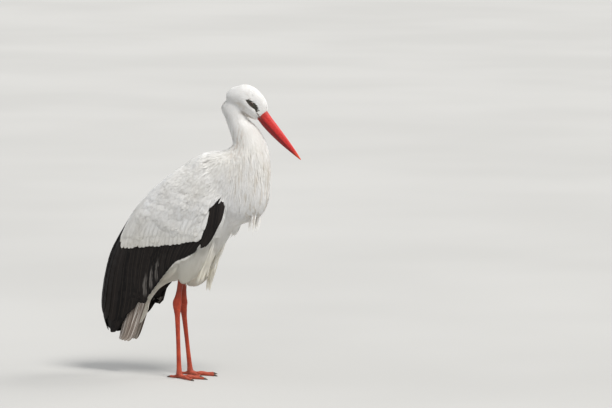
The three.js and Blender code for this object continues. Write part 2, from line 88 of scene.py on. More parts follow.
# The bill: distance along it, culmen, line of the gape, underside, half width.
BILL = [
    [-10, 19, -7, -17, 13.5], [0, 18.3, -7, -18, 13], [25, 15.6, -6.6, -19.8, 11.5],
    [50, 13.9, -6, -19, 10], [75, 12, -5.2, -17, 8.2], [100, 9.9, -4.2, -14, 6.4],
    [125, 7.2, -3.2, -9.8, 4.6], [145, 4.6, -2.2, -6.2, 3.2], [160, 2, -1.2, -3.2, 2],
    [BILL_LENGTH, 0.6, -0.4, -1.4, 1],
]
# Folded wings: back ridge x, z; lower edge x, z; half width; half width at the edge.
WINGS = [
    [128, 640, 172, 560, 56, 50], [92, 658, 168, 515, 78, 72], [46, 643, 150, 450, 90, 84],
    [2, 617, 112, 394, 95, 86], [-48, 582, 57, 372, 96, 84], [-96, 545, 6, 349, 92, 78],
    [-139, 500, -36, 310, 85, 69], [-178, 446, -66, 276, 75, 59], [-211, 396, -91, 246, 65, 51],
    [-235, 351, -112, 222, 56, 45], [-250, 296, -136, 226, 48, 40], [-260, 240, -160, 198, 41, 35],
    [-263, 192, -188, 160, 34, 29], [-256, 151, -210, 132, 27, 23], [-243, 125, -232, 119, 19, 17],
]
WIDEST = 0.45  # how far down a wing's slice it is widest

# Legs: x, y, z of each joint; thighs: x, z and radius down their length.
LEGS = {
    "right": {"knee": [24, -42, 350], "ankle": [-5, -33, 219], "foot": [4, -40, 12]},
    "left": {"knee": [-20, 44, 350], "ankle": [-20, 33, 210], "foot": [-2, 41, 12]},
}
THIGHS = {
    "right": [[48, 420, 60], [46, 376, 55], [38, 338, 44], [28, 310, 32], [18, 288, 18], [13, 277, 7]],
    "left": [[46, 420, 60], [41, 374, 53], [31, 334, 46], [17, 302, 40], [3, 280, 28], [-13, 265, 9]],
}
# The flank's fullness behind each thigh: x, distance from the middle, z, radius, sideways share.
FLANK = [[70, 42, 430, 38, 0.6], [14, 45, 372, 38, 0.6], [-30, 41, 328, 30, 0.6], [-66, 30, 296, 20, 0.6]]
WRIST_TUCK = {"right": 0, "left": 34}  # the left wing's front edge lies deeper in the breast feathers
TOES = {"inner": (60, 34, 2), "middle": (80, 2, 3), "outer": (68, -30, 2), "hind": (30, 178, 1)}


# ---------------------------------------------------------------- shapes from tables
def smooth(table, places):
    """Rows of a table at places counted in rows, with smooth curves between them."""
    rows = np.asarray(table, float)
    last = len(rows) - 1
    rows = np.vstack([2 * rows[0] - rows[1], rows, 2 * rows[-1] - rows[-2]])
    places = np.clip(np.asarray(places, float), 0, last)
    step = np.minimum(places.astype(int), last - 1)
    f = (places - step)[..., None]
    a, b, c, d = (rows[step + k] for k in range(4))
    bend, twist = 2 * a - 5 * b + 4 * c - d, 3 * b - a - 3 * c + d
    return 0.5 * (2 * b + (c - a) * f + bend * f**2 + twist * f**3)


def oval_rings(table, places, around):
    """Rings of body stations, widest part of the way down each."""
    back_x, back_z, front_x, front_z, half, widest = smooth(table, places).T[:, :, None]
    angle = np.linspace(0, 2 * np.pi, around, endpoint=False)
    down = ((1 - np.cos(angle)) / 2) ** (np.log(widest) / np.log(0.5))
    return np.stack([back_x + (front_x - back_x) * down, half * np.sin(angle),
                     back_z + (front_z - back_z) * down], axis=-1)


def limb_rings(joints, around, steps):
    """Rings round a limb whose joints are rows of x, y, z, radius and sideways share."""
    rows = smooth(joints, np.linspace(0, len(joints) - 1, (len(joints) - 1) * steps + 1))
    centre, radius, share = rows[:, :3], rows[:, 3], rows[:, 4]
    along = unit(np.gradient(centre, axis=0))
    side = unit(np.array([0, 1, 0]) - along * along[:, 1:2])
    up = np.cross(along, side)
    angle = np.linspace(0, 2 * np.pi, around, endpoint=False)[None, :, None]
    return (centre[:, None] + up[:, None] * np.cos(angle) * radius[:, None, None]
            + side[:, None] * np.sin(angle) * (radius * share)[:, None, None])


def unit(vectors):
    length = np.linalg.norm(vectors, axis=-1, keepdims=True)
    return vectors / np.maximum(length, 1e-9)


def closed_tube(rings):
    """Points and faces of a tube through rings, closed at both ends."""
    count, around = rings.shape[:2]
    ring, k = np.meshgrid(np.arange(count - 1), np.arange(around), indexing="ij")
    a = (ring * around + k).ravel()
    b = (ring * around + (k + 1) % around).ravel()
    faces = np.stack([a, b, b + around, a + around], axis=1).tolist()
    faces.append(list(range(around))[::-1])
    faces.append(list(range((count - 1) * around, count * around)))
    return rings.reshape(-1, 3), faces


pitch_cos, pitch_sin = math.cos(BILL_PITCH), math.sin(BILL_PITCH)
turn_cos, turn_sin = math.cos(HEAD_TURN), math.sin(HEAD_TURN)
HEAD_AXES = np.array([  # rows: along the bill, to its left, up
    [turn_cos * pitch_cos, turn_sin * pitch_cos, -pitch_sin],
    [-turn_sin, turn_cos, 0],
    [turn_cos * pitch_sin, turn_sin * pitch_sin, pitch_cos],
])


def out_of_head(points):
    """The bird's millimetres from the head's own measure, which starts at the bill's root."""
    return BILL_ROOT + np.asarray(points, float) @ HEAD_AXES


def into_head(points):
    return (np.asarray(points, float) - BILL_ROOT) @ HEAD_AXES.T


# ---------------------------------------------------------------- Blender objects
def piece(name, points, faces, finish, slot):
    """A smooth mesh object, drawn in millimetres."""
    mesh = bpy.data.meshes.new(name)
    mesh.from_pydata(metres(points).tolist(), [], faces)
    mesh.validate()
    mesh.polygons.foreach_set("use_smooth", [True] * len(mesh.polygons))
    return dress(bpy.data.objects.new(name, mesh), finish)


def dress(made, finish):
    """Give a piece its finish, and let it ride on the bird's one body."""
    bpy.context.scene.collection.objects.link(made)
    made.data.materials.append(finish)
    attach(made, "root")
    return made


def read(items, key, width, kind):
    """One property of a mesh's points, corners or faces, as an array."""
    values = np.empty(len(items) * width, kind)
    items.foreach_get(key, values)
    return values.reshape(-1, width) if width > 1 else values


def joined(parts):
    """Points and faces of several closed shapes as one list."""
    points, faces, start = [], [], 0
    for part_points, part_faces in parts:
        points.append(np.asarray(part_points, float))
        faces += [[i + start for i in face] for face in part_faces]
        start += len(part_points)
    return np.vstack(points), faces


def melted(parts, voxel, rounds):
    """One closed surface round overlapping shapes, softened; points in drawing millimetres."""
    points, faces = joined(parts)
    mesh = bpy.data.meshes.new("melting")
    mesh.from_pydata(metres(points).tolist(), [], faces)
    lump = bpy.data.objects.new("melting", mesh)
    bpy.context.scene.collection.objects.link(lump)
    remesh = lump.modifiers.new("grid", "REMESH")
    remesh.mode = "VOXEL"
    remesh.voxel_size = voxel / 1000
    soften = lump.modifiers.new("soften", "SMOOTH")
    soften.factor = 0.5
    soften.iterations = rounds
    grid = lump.evaluated_get(bpy.context.evaluated_depsgraph_get()).to_mesh()
    out_points = read(grid.vertices, "co", 3, np.float32)
    out_normals = read(grid.vertices, "normal", 3, np.float32)
    corners = read(grid.loops, "vertex_index", 1, np.int32)
    totals = read(grid.polygons, "loop_total", 1, np.int32)
    quads = [list(q) for q in np.split(corners, np.cumsum(totals)[:-1])]
    bpy.data.objects.remove(lump)
    bpy.data.meshes.remove(mesh)
    return drawn(out_points), out_normals.astype(float), quads


class Guide:
    """A surface that feathers are laid on."""

    def __init__(self, points, faces):
        self.points = np.asarray(points, float)
        self.faces = faces
        self.tree = BVHTree.FromPolygons(self.points.tolist(), [[int(i) for i in f] for f in faces])

    def nearest(self, points):
        """The nearest places on the surface, its normals there and the faces they lie on."""
        found = [self.tree.find_nearest(p) for p in np.asarray(points, float).tolist()]
        return tuple(np.array([f[k] for f in found]) for k in range(3))


# ---------------------------------------------------------------- finishes
class Wire:
    """A value in a material's nodes; arithmetic on it adds Math nodes."""

    def __init__(self, finish, socket):
        self.finish, self.socket = finish, socket

    def maths(self, operation, *values):
        return self.finish.add("ShaderNodeMath", {"operation": operation}, dict(enumerate(values)))

    def __add__(self, other):
        return self.maths("ADD", self, other)

    def __radd__(self, other):
        return self.maths("ADD", other, self)

    def __sub__(self, other):
        return self.maths("SUBTRACT", self, other)

    def __rsub__(self, other):
        return self.maths("SUBTRACT", other, self)

    def __mul__(self, other):
        return self.maths("MULTIPLY", self, other)

    def __rmul__(self, other):
        return self.maths("MULTIPLY", other, self)

    def __truediv__(self, other):
        return self.maths("DIVIDE", self, other)

    def __rtruediv__(self, other):
        return self.maths("DIVIDE", other, self)

    def __abs__(self):
        return self.maths("ABSOLUTE", self)

    def sine(self):
        return self.maths("SINE", self)

    def fade(self, start, end, low=0.0, high=1.0):
        """A smooth step from low at start to high at end."""
        return self.finish.add("ShaderNodeMapRange", {"interpolation_type": "SMOOTHSTEP"}, {
            "Value": self, "From Min": start, "From Max": end, "To Min": low, "To Max": high})


class Finish:
    """One procedural material."""

    def __init__(self, name):
        self.material = bpy.data.materials.new(name)
        self.material.use_nodes = True
        self.tree = self.material.node_tree
        self.tree.nodes.clear()

    def add(self, kind, settings=None, sockets=None, out=0):
        """A node of a kind: its settings first, then its sockets' values or links."""
        made = self.tree.nodes.new(kind)
        for key, value in (settings or {}).items():
            setattr(made, key, value)
        for key, value in (sockets or {}).items():
            if isinstance(value, Wire):
                self.tree.links.new(value.socket, made.inputs[key])
            elif made.inputs[key].type == "RGBA":
                made.inputs[key].default_value = (*value, 1)
            else:
                made.inputs[key].default_value = value
        return Wire(self, made.outputs[out]) if made.outputs else None

    def mix(self, factor, a, b):
        """The colour a where the factor is 0 and b where it is 1."""
        return self.add("ShaderNodeMix", {"data_type": "RGBA"}, {0: factor, 6: a, 7: b}, out=2)

    def vectors(self, operation, a, b, out=0):
        return self.add("ShaderNodeVectorMath", {"operation": operation}, {0: a, 1: b}, out)

    def place(self):
        return self.add("ShaderNodeTexCoord", out="Object")

    def along(self, axis, origin):
        """Distance in metres from an origin along an axis of the frame."""
        shifted = self.vectors("SUBTRACT", self.place(), tuple(origin))
        return self.vectors("DOT_PRODUCT", shifted, tuple(axis), "Value")

    def in_head(self):
        """Millimetres along the bill and up from it, in the head's own measure."""
        return [self.along(HEAD_AXES[axis], metres(BILL_ROOT)) * 1000 for axis in (0, 2)]

    def noise(self, scale, detail, where=None):
        sockets = {"Vector": where or self.place(), "Scale": scale, "Detail": detail}
        return self.add("ShaderNodeTexNoise", {}, sockets)

    def strands(self, stretch, detail, where=None):
        """Noise drawn out along an axis: stretch is its fineness along x, y and z."""
        return self.noise(1.0, detail, self.vectors("MULTIPLY", where or self.place(), stretch))

    def attribute(self, name):
        return self.add("ShaderNodeAttribute", {"attribute_name": name}, out="Fac")

    def on_vane(self):
        return self.add("ShaderNodeUVMap", {"uv_map": "vane"})

    def vane(self):
        """Across (-1 to 1) and along (0 to 1) a feather."""
        across, along = (self.add("ShaderNodeSeparateXYZ", {}, {0: self.on_vane()}, axis) for axis in "XY")
        return across * 2 - 1, along

    def bump(self, height, strength, distance):
        sockets = {"Height": height, "Strength": strength, "Distance": distance}
        return self.add("ShaderNodeBump", {}, sockets)

    def surface(self, colour, roughness, normal=None, **constants):
        sockets = {"Base Color": colour, "Roughness": roughness}
        if normal:
            sockets["Normal"] = normal
        sockets.update({key.replace("_", " "): value for key, value in constants.items()})
        shader = self.add("ShaderNodeBsdfPrincipled", {}, sockets)
        self.add("ShaderNodeOutputMaterial", {}, {"Surface": shader})
        return self.material


def white_plumage():
    """White above, with painted shade: warmer and darker low on the body, partly the belly's own warm tint,
    and dark tan in the jaw's crease, on the cheek, in the neck's fold and in streaks down the breast.
    """
    f = Finish("white_plumage")
    tone = f.attribute("tone")
    across, along = f.vane()
    clean = f.mix(tone.fade(0, 1), (0.90, 0.885, 0.86), (0.95, 0.945, 0.935))
    cream = f.mix(f.noise(9, 2).fade(0.35, 0.75), clean, (0.89, 0.865, 0.81))
    low = f.along((0, 0, 1), (0, 0, 0))
    # painted shade: warmer and darker low on the body, partly the belly's own warm tint
    belly_tint_and_shade = f.mix(low.fade(0.50, 0.28, 0, 0.85), cream, (0.74, 0.69, 0.56))
    x, z = f.in_head()
    # painted shadow in the crease where the jaw meets the neck
    jaw_shadow = abs(z + 25 - x * 0.24).fade(9, 1.0, 0, 0.75) * abs(x + 30).fade(30, 12)
    jaw_shadowed = f.mix(jaw_shadow, belly_tint_and_shade, (0.34, 0.28, 0.22))
    # painted shade, tan and mottled, on the cheek behind the jaw
    cheek_shade = abs(z + 17 - x * 0.1).fade(13, 2, 0, 0.5) * abs(x + 62).fade(34, 6)
    shaded = f.mix(cheek_shade * f.noise(60, 2).fade(0.3, 0.6), jaw_shadowed, (0.55, 0.47, 0.37))
    # painted shade in the neck's fold, where its feathers part in tan streaks
    ahead = f.along((1, 0, 0), metres([194, 0, 0]))
    above = f.along((0, 0, 1), metres([0, 0, 688]))
    neck_fold = (ahead * ahead * 3 + above * above).fade(0.0032, 0.0002)
    parted = f.strands((150.0, 150.0, 22.0), 2).fade(0.42, 0.6, 0, 0.55)
    neck_fold_shaded = f.mix(neck_fold * parted, shaded, (0.56, 0.46, 0.37))
    # painted shade in tan streaks down the breast's hanging plumes
    breast = f.along((1, 0, 0.25), metres([178, 0, 580])).fade(-0.01, 0.03) * low.fade(0.70, 0.60)
    hanging = f.strands((130.0, 130.0, 9.0), 2).fade(0.48, 0.64, 0, 0.55)
    breast_streak_shaded = f.mix(breast * hanging, neck_fold_shaded, (0.62, 0.55, 0.45))
    shaft = abs(across).fade(0.02, 0.10, 0.35, 0)
    colour = f.mix(shaft, breast_streak_shaded, (0.70, 0.66, 0.60))
    barbs = (along * 90 + abs(across) * 14).sine()
    relief = f.bump(barbs * 0.15 + f.noise(900, 2) * 0.5, 0.2, 0.0003)
    return f.surface(colour, 0.75, relief, Subsurface_Weight=0.5, Subsurface_Radius=(1.0, 0.95, 0.9),
                     Subsurface_Scale=0.003)


def tail_plumage():
    """Dull white, streaked with brown, with painted shade along each feather's edges where the next one
    overlaps.
    """
    f = Finish("tail_plumage")
    tone = f.attribute("tone")
    across, along = f.vane()
    base = f.mix(tone.fade(0, 1), (0.48, 0.41, 0.35), (0.80, 0.75, 0.69))
    streaks = f.strands((11.0, 2.0, 1.0), 2, f.on_vane())
    # painted shade along each feather's edges, where the next one overlaps
    edge_shaded = f.mix(abs(across).fade(0.42, 0.92, 0, 0.85), base, (0.11, 0.078, 0.06))
    streaked = f.mix(streaks.fade(0.40, 0.58, 0, 0.9), edge_shaded, (0.13, 0.09, 0.065))
    shaft = abs(across).fade(0.02, 0.09, 0.6, 0)
    colour = f.mix(shaft, streaked, (0.42, 0.34, 0.27))
    barbs = (along * 240 + abs(across) * 22).sine()
    return f.surface(colour, 0.7, f.bump(barbs, 0.3, 0.0004))


def black_plumage():
    """Black, with silver on the outer webs that ask for it."""
    f = Finish("black_plumage")
    tone = f.attribute("tone")
    silver = f.attribute("silver")
    across, along = f.vane()
    base = f.mix(tone.fade(0, 1), (0.006, 0.005, 0.005), (0.015, 0.012, 0.011))
    streaks = f.strands((5.0, 2.0, 1.0), 3, f.on_vane())
    outer_web = across.fade(-0.55, -0.05) * silver * streaks.fade(0.25, 0.65)
    toward_tip = along.fade(0.5, 0.7) * along.fade(1.0, 0.86)
    streaked = f.mix(outer_web * toward_tip, base, (0.29, 0.27, 0.25))
    shaft = abs(across).fade(0.02, 0.07, 0.8, 0)
    colour = f.mix(shaft, streaked, (0.035, 0.027, 0.022))
    barbs = (along * 260 + abs(across) * 24).sine()
    rough = f.noise(60, 2).fade(0.3, 0.7, 0.5, 0.68)
    return f.surface(colour, rough, f.bump(barbs, 0.3, 0.0004), Specular_IOR_Level=0.14)


def bare_patch(x, z):
    """Above 0 inside the almond of bare skin round the eye and its line to the gape.
    x and z are millimetres in the head's own measure, as numbers or as a material's values."""
    from_eye = x + 40
    middle = 6.5 + from_eye * 0.09 - from_eye * from_eye * 0.003
    almond = 9.6 - from_eye * from_eye * 0.0118 - abs(z - middle)
    line = 3.7 - abs(z + 6.0 + x * 0.33) - abs(x + 10) * 0.05
    return (almond + line + abs(almond - line)) * 0.5  # the larger of the two


def bird_skin():
    """Pale under white feathers, black under black ones, olive black and wrinkled round the eye."""
    f = Finish("bird_skin")
    bare = bare_patch(*f.in_head())
    plumage = f.mix(f.attribute("dark"), (0.88, 0.86, 0.82), (0.012, 0.010, 0.009))
    wrinkles = f.noise(520, 4)
    olive = f.mix(wrinkles.fade(0.35, 0.7), (0.010, 0.009, 0.007), (0.050, 0.045, 0.028))
    colour = f.mix(bare, plumage, olive)
    return f.surface(colour, bare.fade(0, 1, 0.8, 0.5), f.bump(wrinkles, 0.5, 0.0008))


def keratin():
    """The bill's red: deeper towards the underside, partly painted shade, orange at the tip, with a dark
    seam and small flecks.
    """
    f = Finish("red_keratin")
    x, z = f.in_head()
    grain = f.strands((90.0, 500.0, 500.0), 4)
    deep = f.mix(grain.fade(0.35, 0.7), (0.17, 0.006, 0.007), (0.27, 0.010, 0.010))
    bright = f.mix(grain.fade(0.3, 0.7), (0.42, 0.015, 0.015), (0.56, 0.036, 0.030))
    # painted shade: the red darkens towards the bill's underside, partly the lower mandible's own deeper
    # red
    height = (z + 5) / (19 - x * 0.095)
    colour = f.mix(height.fade(-0.15, 0.55), deep, bright)
    seam = abs(z + 6.8 - x * 0.028).fade(0, 3.2, 0.6, 0)
    seamed = f.mix(seam * x.fade(0, 30), colour, (0.10, 0.005, 0.006))
    tipped = f.mix(x.fade(130, 166, 0, 0.7), seamed, (0.70, 0.12, 0.045))
    based = f.mix(x.fade(16, 0, 0, 0.45), tipped, (0.24, 0.03, 0.02))
    flecks = f.noise(420, 2).fade(0.62, 0.72, 0, 0.5)
    flecked = f.mix(flecks * x.fade(70, 10), based, (0.16, 0.015, 0.01))
    return f.surface(flecked, 0.42, f.bump(grain, 0.3, 0.0007), Specular_IOR_Level=0.28, Coat_Weight=0.08,
                     Coat_Roughness=0.25)


def scaly_skin():
    """The legs' red scales, dusky above the ankle and paler on the feet."""
    f = Finish("leg_scales")
    scales = f.add("ShaderNodeTexVoronoi", {"feature": "DISTANCE_TO_EDGE"},
                   {"Vector": f.place(), "Scale": 330.0}, out="Distance")
    edge = scales.fade(0.0, 0.16)
    z = f.along((0, 0, 1), (0, 0, 0))
    drift = f.noise(45, 3)
    red = f.mix(drift.fade(0.3, 0.7), (0.35, 0.033, 0.010), (0.50, 0.062, 0.018))
    dusk = f.mix(z.fade(0.215, 0.265, 0, 0.65), red, (0.17, 0.024, 0.012))
    feet = f.mix(z.fade(0.05, 0.0, 0, 0.4), dusk, (0.34, 0.10, 0.06))
    colour = f.mix(edge.fade(1, 0, 0, 0.55), feet, (0.13, 0.016, 0.010))
    return f.surface(colour, 0.5, f.bump(edge, 0.6, 0.0007), Specular_IOR_Level=0.35)


def horn():
    f = Finish("claw_horn")
    grain = f.strands((60.0, 400.0, 400.0), 3)
    colour = f.mix(grain.fade(0.3, 0.7), (0.040, 0.028, 0.022), (0.12, 0.085, 0.062))
    return f.surface(colour, 0.42, f.bump(grain, 0.3, 0.0004))


def eye_glass(centre, axis):
    """A dark wet eye: pupil, brown iris and the rim that the lids hide."""
    f = Finish("dark_eye")
    outward = f.add("ShaderNodeVectorMath", {"operation": "NORMALIZE"},
                    {0: f.vectors("SUBTRACT", f.place(), tuple(centre))})
    facing = f.vectors("DOT_PRODUCT", outward, tuple(axis), "Value")
    iris = f.mix(f.noise(1400, 3).fade(0.3, 0.7), (0.030, 0.016, 0.008), (0.085, 0.045, 0.020))
    pupil = f.mix(facing.fade(0.930, 0.945), iris, (0.002, 0.002, 0.002))
    colour = f.mix(facing.fade(0.78, 0.72), pupil, (0.012, 0.010, 0.009))
    return f.surface(colour, 0.08, Specular_IOR_Level=0.3, Coat_Weight=0.7, Coat_Roughness=0.02)


def folded_skin(name, fineness, deep, raised, roughness, relief, depth):
    """Bare skin in small folds, darker between them."""
    f = Finish(name)
    folds = f.noise(fineness, 3)
    return f.surface(f.mix(folds.fade(0.3, 0.7), deep, raised), roughness, f.bump(folds, relief, depth))


def pale_floor():
    f = Finish("pale_floor")
    return f.surface(f.mix(f.noise(0.7, 2).fade(0.3, 0.7), (0.40, 0.40, 0.39), (0.43, 0.43, 0.42)), 0.9)


WHITE = white_plumage()
BLACK = black_plumage()
TAIL = tail_plumage()
SKIN = bird_skin()
KERATIN = keratin()
SCALES = scaly_skin()
HORN = horn()
LID = folded_skin("lid_skin", 900, (0.016, 0.014, 0.010), (0.085, 0.078, 0.055), 0.45, 0.5, 0.0005)
GAPE = folded_skin("gape_skin", 700, (0.07, 0.045, 0.04), (0.22, 0.15, 0.14), 0.4, 0.4, 0.0004)

# ---------------------------------------------------------------- skin
TRUNK_END = 17.8  # the station where the trunk closes, inside the undertail
THIGH_FLATNESS = 0.6
head_part = closed_tube(out_of_head(oval_rings(HEAD, np.linspace(0, len(HEAD) - 1, 50), 40)))
trunk_part = closed_tube(oval_rings(NECK_AND_TRUNK, np.linspace(0, TRUNK_END, 130), 56))
undertail_part = closed_tube(oval_rings(UNDERTAIL, np.linspace(0, len(UNDERTAIL) - 1, 30), 32))
thighs = [[[x, LEGS[side]["knee"][1], z, radius, THIGH_FLATNESS] for x, z, radius in rows]
          for side, rows in THIGHS.items()]
flanks = [np.array(FLANK) * [1, sign, 1, 1, 1] for sign in SIDES.values()]
limb_parts = [closed_tube(limb_rings(limb, 32, 8)) for limb in thighs + flanks]
hind_parts = [trunk_part, undertail_part, *limb_parts]
body_parts = [head_part, *hind_parts]


def melted_guide(parts, voxel, rounds):
    """A guide round overlapping shapes, softened."""
    points, _, faces = melted(parts, voxel, rounds)
    return Guide(points, faces)


FORM = melted_guide(body_parts, 3.0, 6)  # the whole body, close to its shapes
SOFT = melted_guide(hind_parts, 3.5, 16)  # the body without its head, with the joins rounded over


def wing_places(s, share, side):
    """Points of the folded wings' outer surface: s in stations, share from the ridge to the edge."""
    s, share = np.broadcast_arrays(np.asarray(s, float), np.asarray(share, float))
    back_x, back_z, front_x, front_z, half, edge = np.moveaxis(smooth(WINGS, s), -1, 0)
    inner = half * np.sqrt(np.clip(1 - (1 - share / WIDEST) ** 2, 0, 1))
    outer = half - (half - edge) * (np.clip(share - WIDEST, 0, 1) / (1 - WIDEST)) ** 2
    reach = np.where(share < WIDEST, inner, outer)
    return np.stack([back_x + (front_x - back_x) * share, side * reach,
                     back_z + (front_z - back_z) * share], axis=-1)


def wing_faces_out(s, share, side):
    """Outward normals of the folded wings' surface."""
    step = 0.02
    ds = wing_places(s + step, share, side) - wing_places(s - step, share, side)
    dh = (wing_places(s, np.clip(share + step, 0.02, 1), side)
          - wing_places(s, np.clip(share - step, 0.01, 0.97), side))
    return unit(np.cross(ds, dh)) * -side


def wing_address(x, z):
    """The wing's station and share at a point of the side view."""
    s = np.linspace(0, len(WINGS) - 1, 561)
    back_x, back_z, front_x, front_z = smooth(WINGS, s).T[:4]
    down_x, down_z = front_x - back_x, front_z - back_z
    share = ((x - back_x) * down_x + (z - back_z) * down_z) / (down_x**2 + down_z**2)
    off = np.hypot(x - back_x - down_x * share, z - back_z - down_z * share)
    best = int(np.argmin(off))
    return s[best], float(np.clip(share[best], 0.0, 1.3))


# The wings' outer surface as rings, from one lower edge over the back to the other: CLOAK is
# that sheet alone, and OUTER one smooth surface over the body and both closed wings, which the
# coat runs across unbroken.
cloak_s = np.linspace(0, len(WINGS) - 1, 120)[:, None]
cloak_share = np.linspace(0, 1, 40)[None] ** 1.5
cloak_rings = [wing_places(cloak_s, cloak_share[:, ::-1], -1), wing_places(cloak_s, cloak_share, 1)]
sheet = np.concatenate([cloak_rings[0], cloak_rings[1][:, 1:]], axis=1)
along, across = sheet.shape[:2]
corner = (np.arange(along - 1)[:, None] * across + np.arange(across - 1)[None]).ravel()
below = corner + across
CLOAK = Guide(sheet.reshape(-1, 3), np.stack([corner, corner + 1, below + 1, below], axis=1).tolist())
OUTER = melted_guide(body_parts + [closed_tube(np.concatenate(cloak_rings, axis=1))], 3.5, 22)


def cad_shape(name):
    """A CAD node's points and faces, in the drawing's millimetres."""
    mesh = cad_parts[name].data
    return drawn([v.co for v in mesh.vertices]), [list(p.vertices) for p in mesh.polygons]


WING_NODES = ("wing_coverts", "wrist_feathers", "flight_feathers")
wing_shapes = [cad_shape(f"{name}_{side}") for name in WING_NODES for side in SIDES]
COVERED = Guide(*joined(wing_shapes))

# Outlines in the side view: the white part of the wing, and the black patch at its wrist.
SHIELD = [
    (190, 720), (176, 600), (158, 540), (128, 512), (108, 478), (98, 440), (96, 412), (45, 402), (-20, 392),
    (-90, 384), (-165, 370), (-188, 372), (-180, 402), (-166, 440), (-152, 466), (-138, 478), (-160, 484),
    (-190, 520), (-120, 720),
]
WRIST = [
    (146, 538), (158, 562), (165, 546), (163, 520), (161, 500), (154, 470), (144, 436), (129, 408),
    (112, 388), (101, 390), (95, 412), (96, 440), (106, 478), (124, 512),
]


def in_wrist(points, ahead=0):
    """Which points lie in the black patch at either wrist, or so far ahead of it."""
    tuck = np.where(points[:, 1] > 0, WRIST_TUCK["left"], WRIST_TUCK["right"])
    x, z = points[:, 0] + tuck, points[:, 2]
    return inside(WRIST, x - ahead, z) | inside(WRIST, x - ahead - 5, z - 2 * ahead)


def inside(outline, x, z):
    """Which points of the side view lie inside an outline."""
    result = np.zeros(np.shape(x), bool)
    for (ax, az), (bx, bz) in zip(outline, outline[1:] + outline[:1]):
        crosses = (az > z) != (bz > z)
        result ^= crosses & (x < (bx - ax) * (z - az) / (bz - az + 1e-9) + ax)
    return result


def depth_of_coat(points):
    """How deep the skin lies under the feathers: least on the face."""
    head = into_head(points)
    from_face = np.linalg.norm(head - [-40, 0, 0], axis=1)
    return np.interp(from_face, [45, 90, 200], [1.4, 2.4, 3.6])


skin_points, skin_normals, skin_faces = melted(body_parts + wing_shapes, 4.0, 8)
skin_points = skin_points - skin_normals * depth_of_coat(skin_points)[:, None]
skin = piece("skin", skin_points, skin_faces, SKIN, "white_plumage")
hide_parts("head", "neck", "trunk", "thigh_left", "thigh_right")

# The skin is dark where black feathers grow.
WING_SKIN = 22  # how far from the wings' outer surface the skin still counts as theirs
on_wing = np.abs(CLOAK.nearest(skin_points)[0] - skin_points).sum(axis=1) < WING_SKIN
x, z = skin_points[:, 0], skin_points[:, 2]
dark = on_wing & (in_wrist(skin_points) | (~inside(SHIELD, x, z) & (x < 112) & (z < 500)))
dark_values = skin.data.attributes.new("dark", "FLOAT", "POINT")
dark_values.data.foreach_set("value", dark.astype(np.float32))

# Its map for baking, which the feathers share.
bpy.context.view_layer.objects.active = skin
skin.select_set(True)
bpy.ops.object.mode_set(mode="EDIT")
bpy.ops.mesh.select_all(action="SELECT")
bpy.ops.uv.smart_project(angle_limit=math.radians(66), island_margin=0.002)
bpy.ops.object.mode_set(mode="OBJECT")
skin.select_set(False)
skin.data.uv_layers[0].name = "OFBake"
skin_uv = read(skin.data.uv_layers[0].data, "uv", 2, np.float32)
skin_starts = read(skin.data.polygons, "loop_start", 1, np.int32)
SKIN_GUIDE = Guide(skin_points, skin_faces)

# ---------------------------------------------------------------- feathers
# A feather's section: across, and height of its rounded top.
FINE = [(-1, 0), (0, 1), (1, 0)]
BROAD = [(-1, 0), (-0.55, 0.75), (0, 1.2), (0.55, 0.75), (1, 0), (0, -0.1)]
# A feather's outline: shares of its length, and how wide it is there.
LANCE = ([0, 0.20, 0.45, 0.70, 0.88, 1], [0.5, 0.9, 1, 0.72, 0.36, 0.03])
ROUND = ([0, 0.15, 0.35, 0.55, 0.75, 0.87, 0.95, 1], [0.4, 0.7, 0.92, 1, 0.97, 0.80, 0.5, 0.12])
LONG = ([0, 0.08, 0.2, 0.35, 0.5, 0.65, 0.78, 0.87, 0.93, 0.97, 1],
        [0.3, 0.55, 0.8, 0.92, 0.98, 1, 0.98, 0.9, 0.72, 0.48, 0.14])
GRID = 4.0  # the cells in which roots look for their neighbours
BAKE_PATCH = 0.003  # how much of the skin's map for baking a feather takes
SHARP = math.radians(50)  # a feather's edges turn more than this


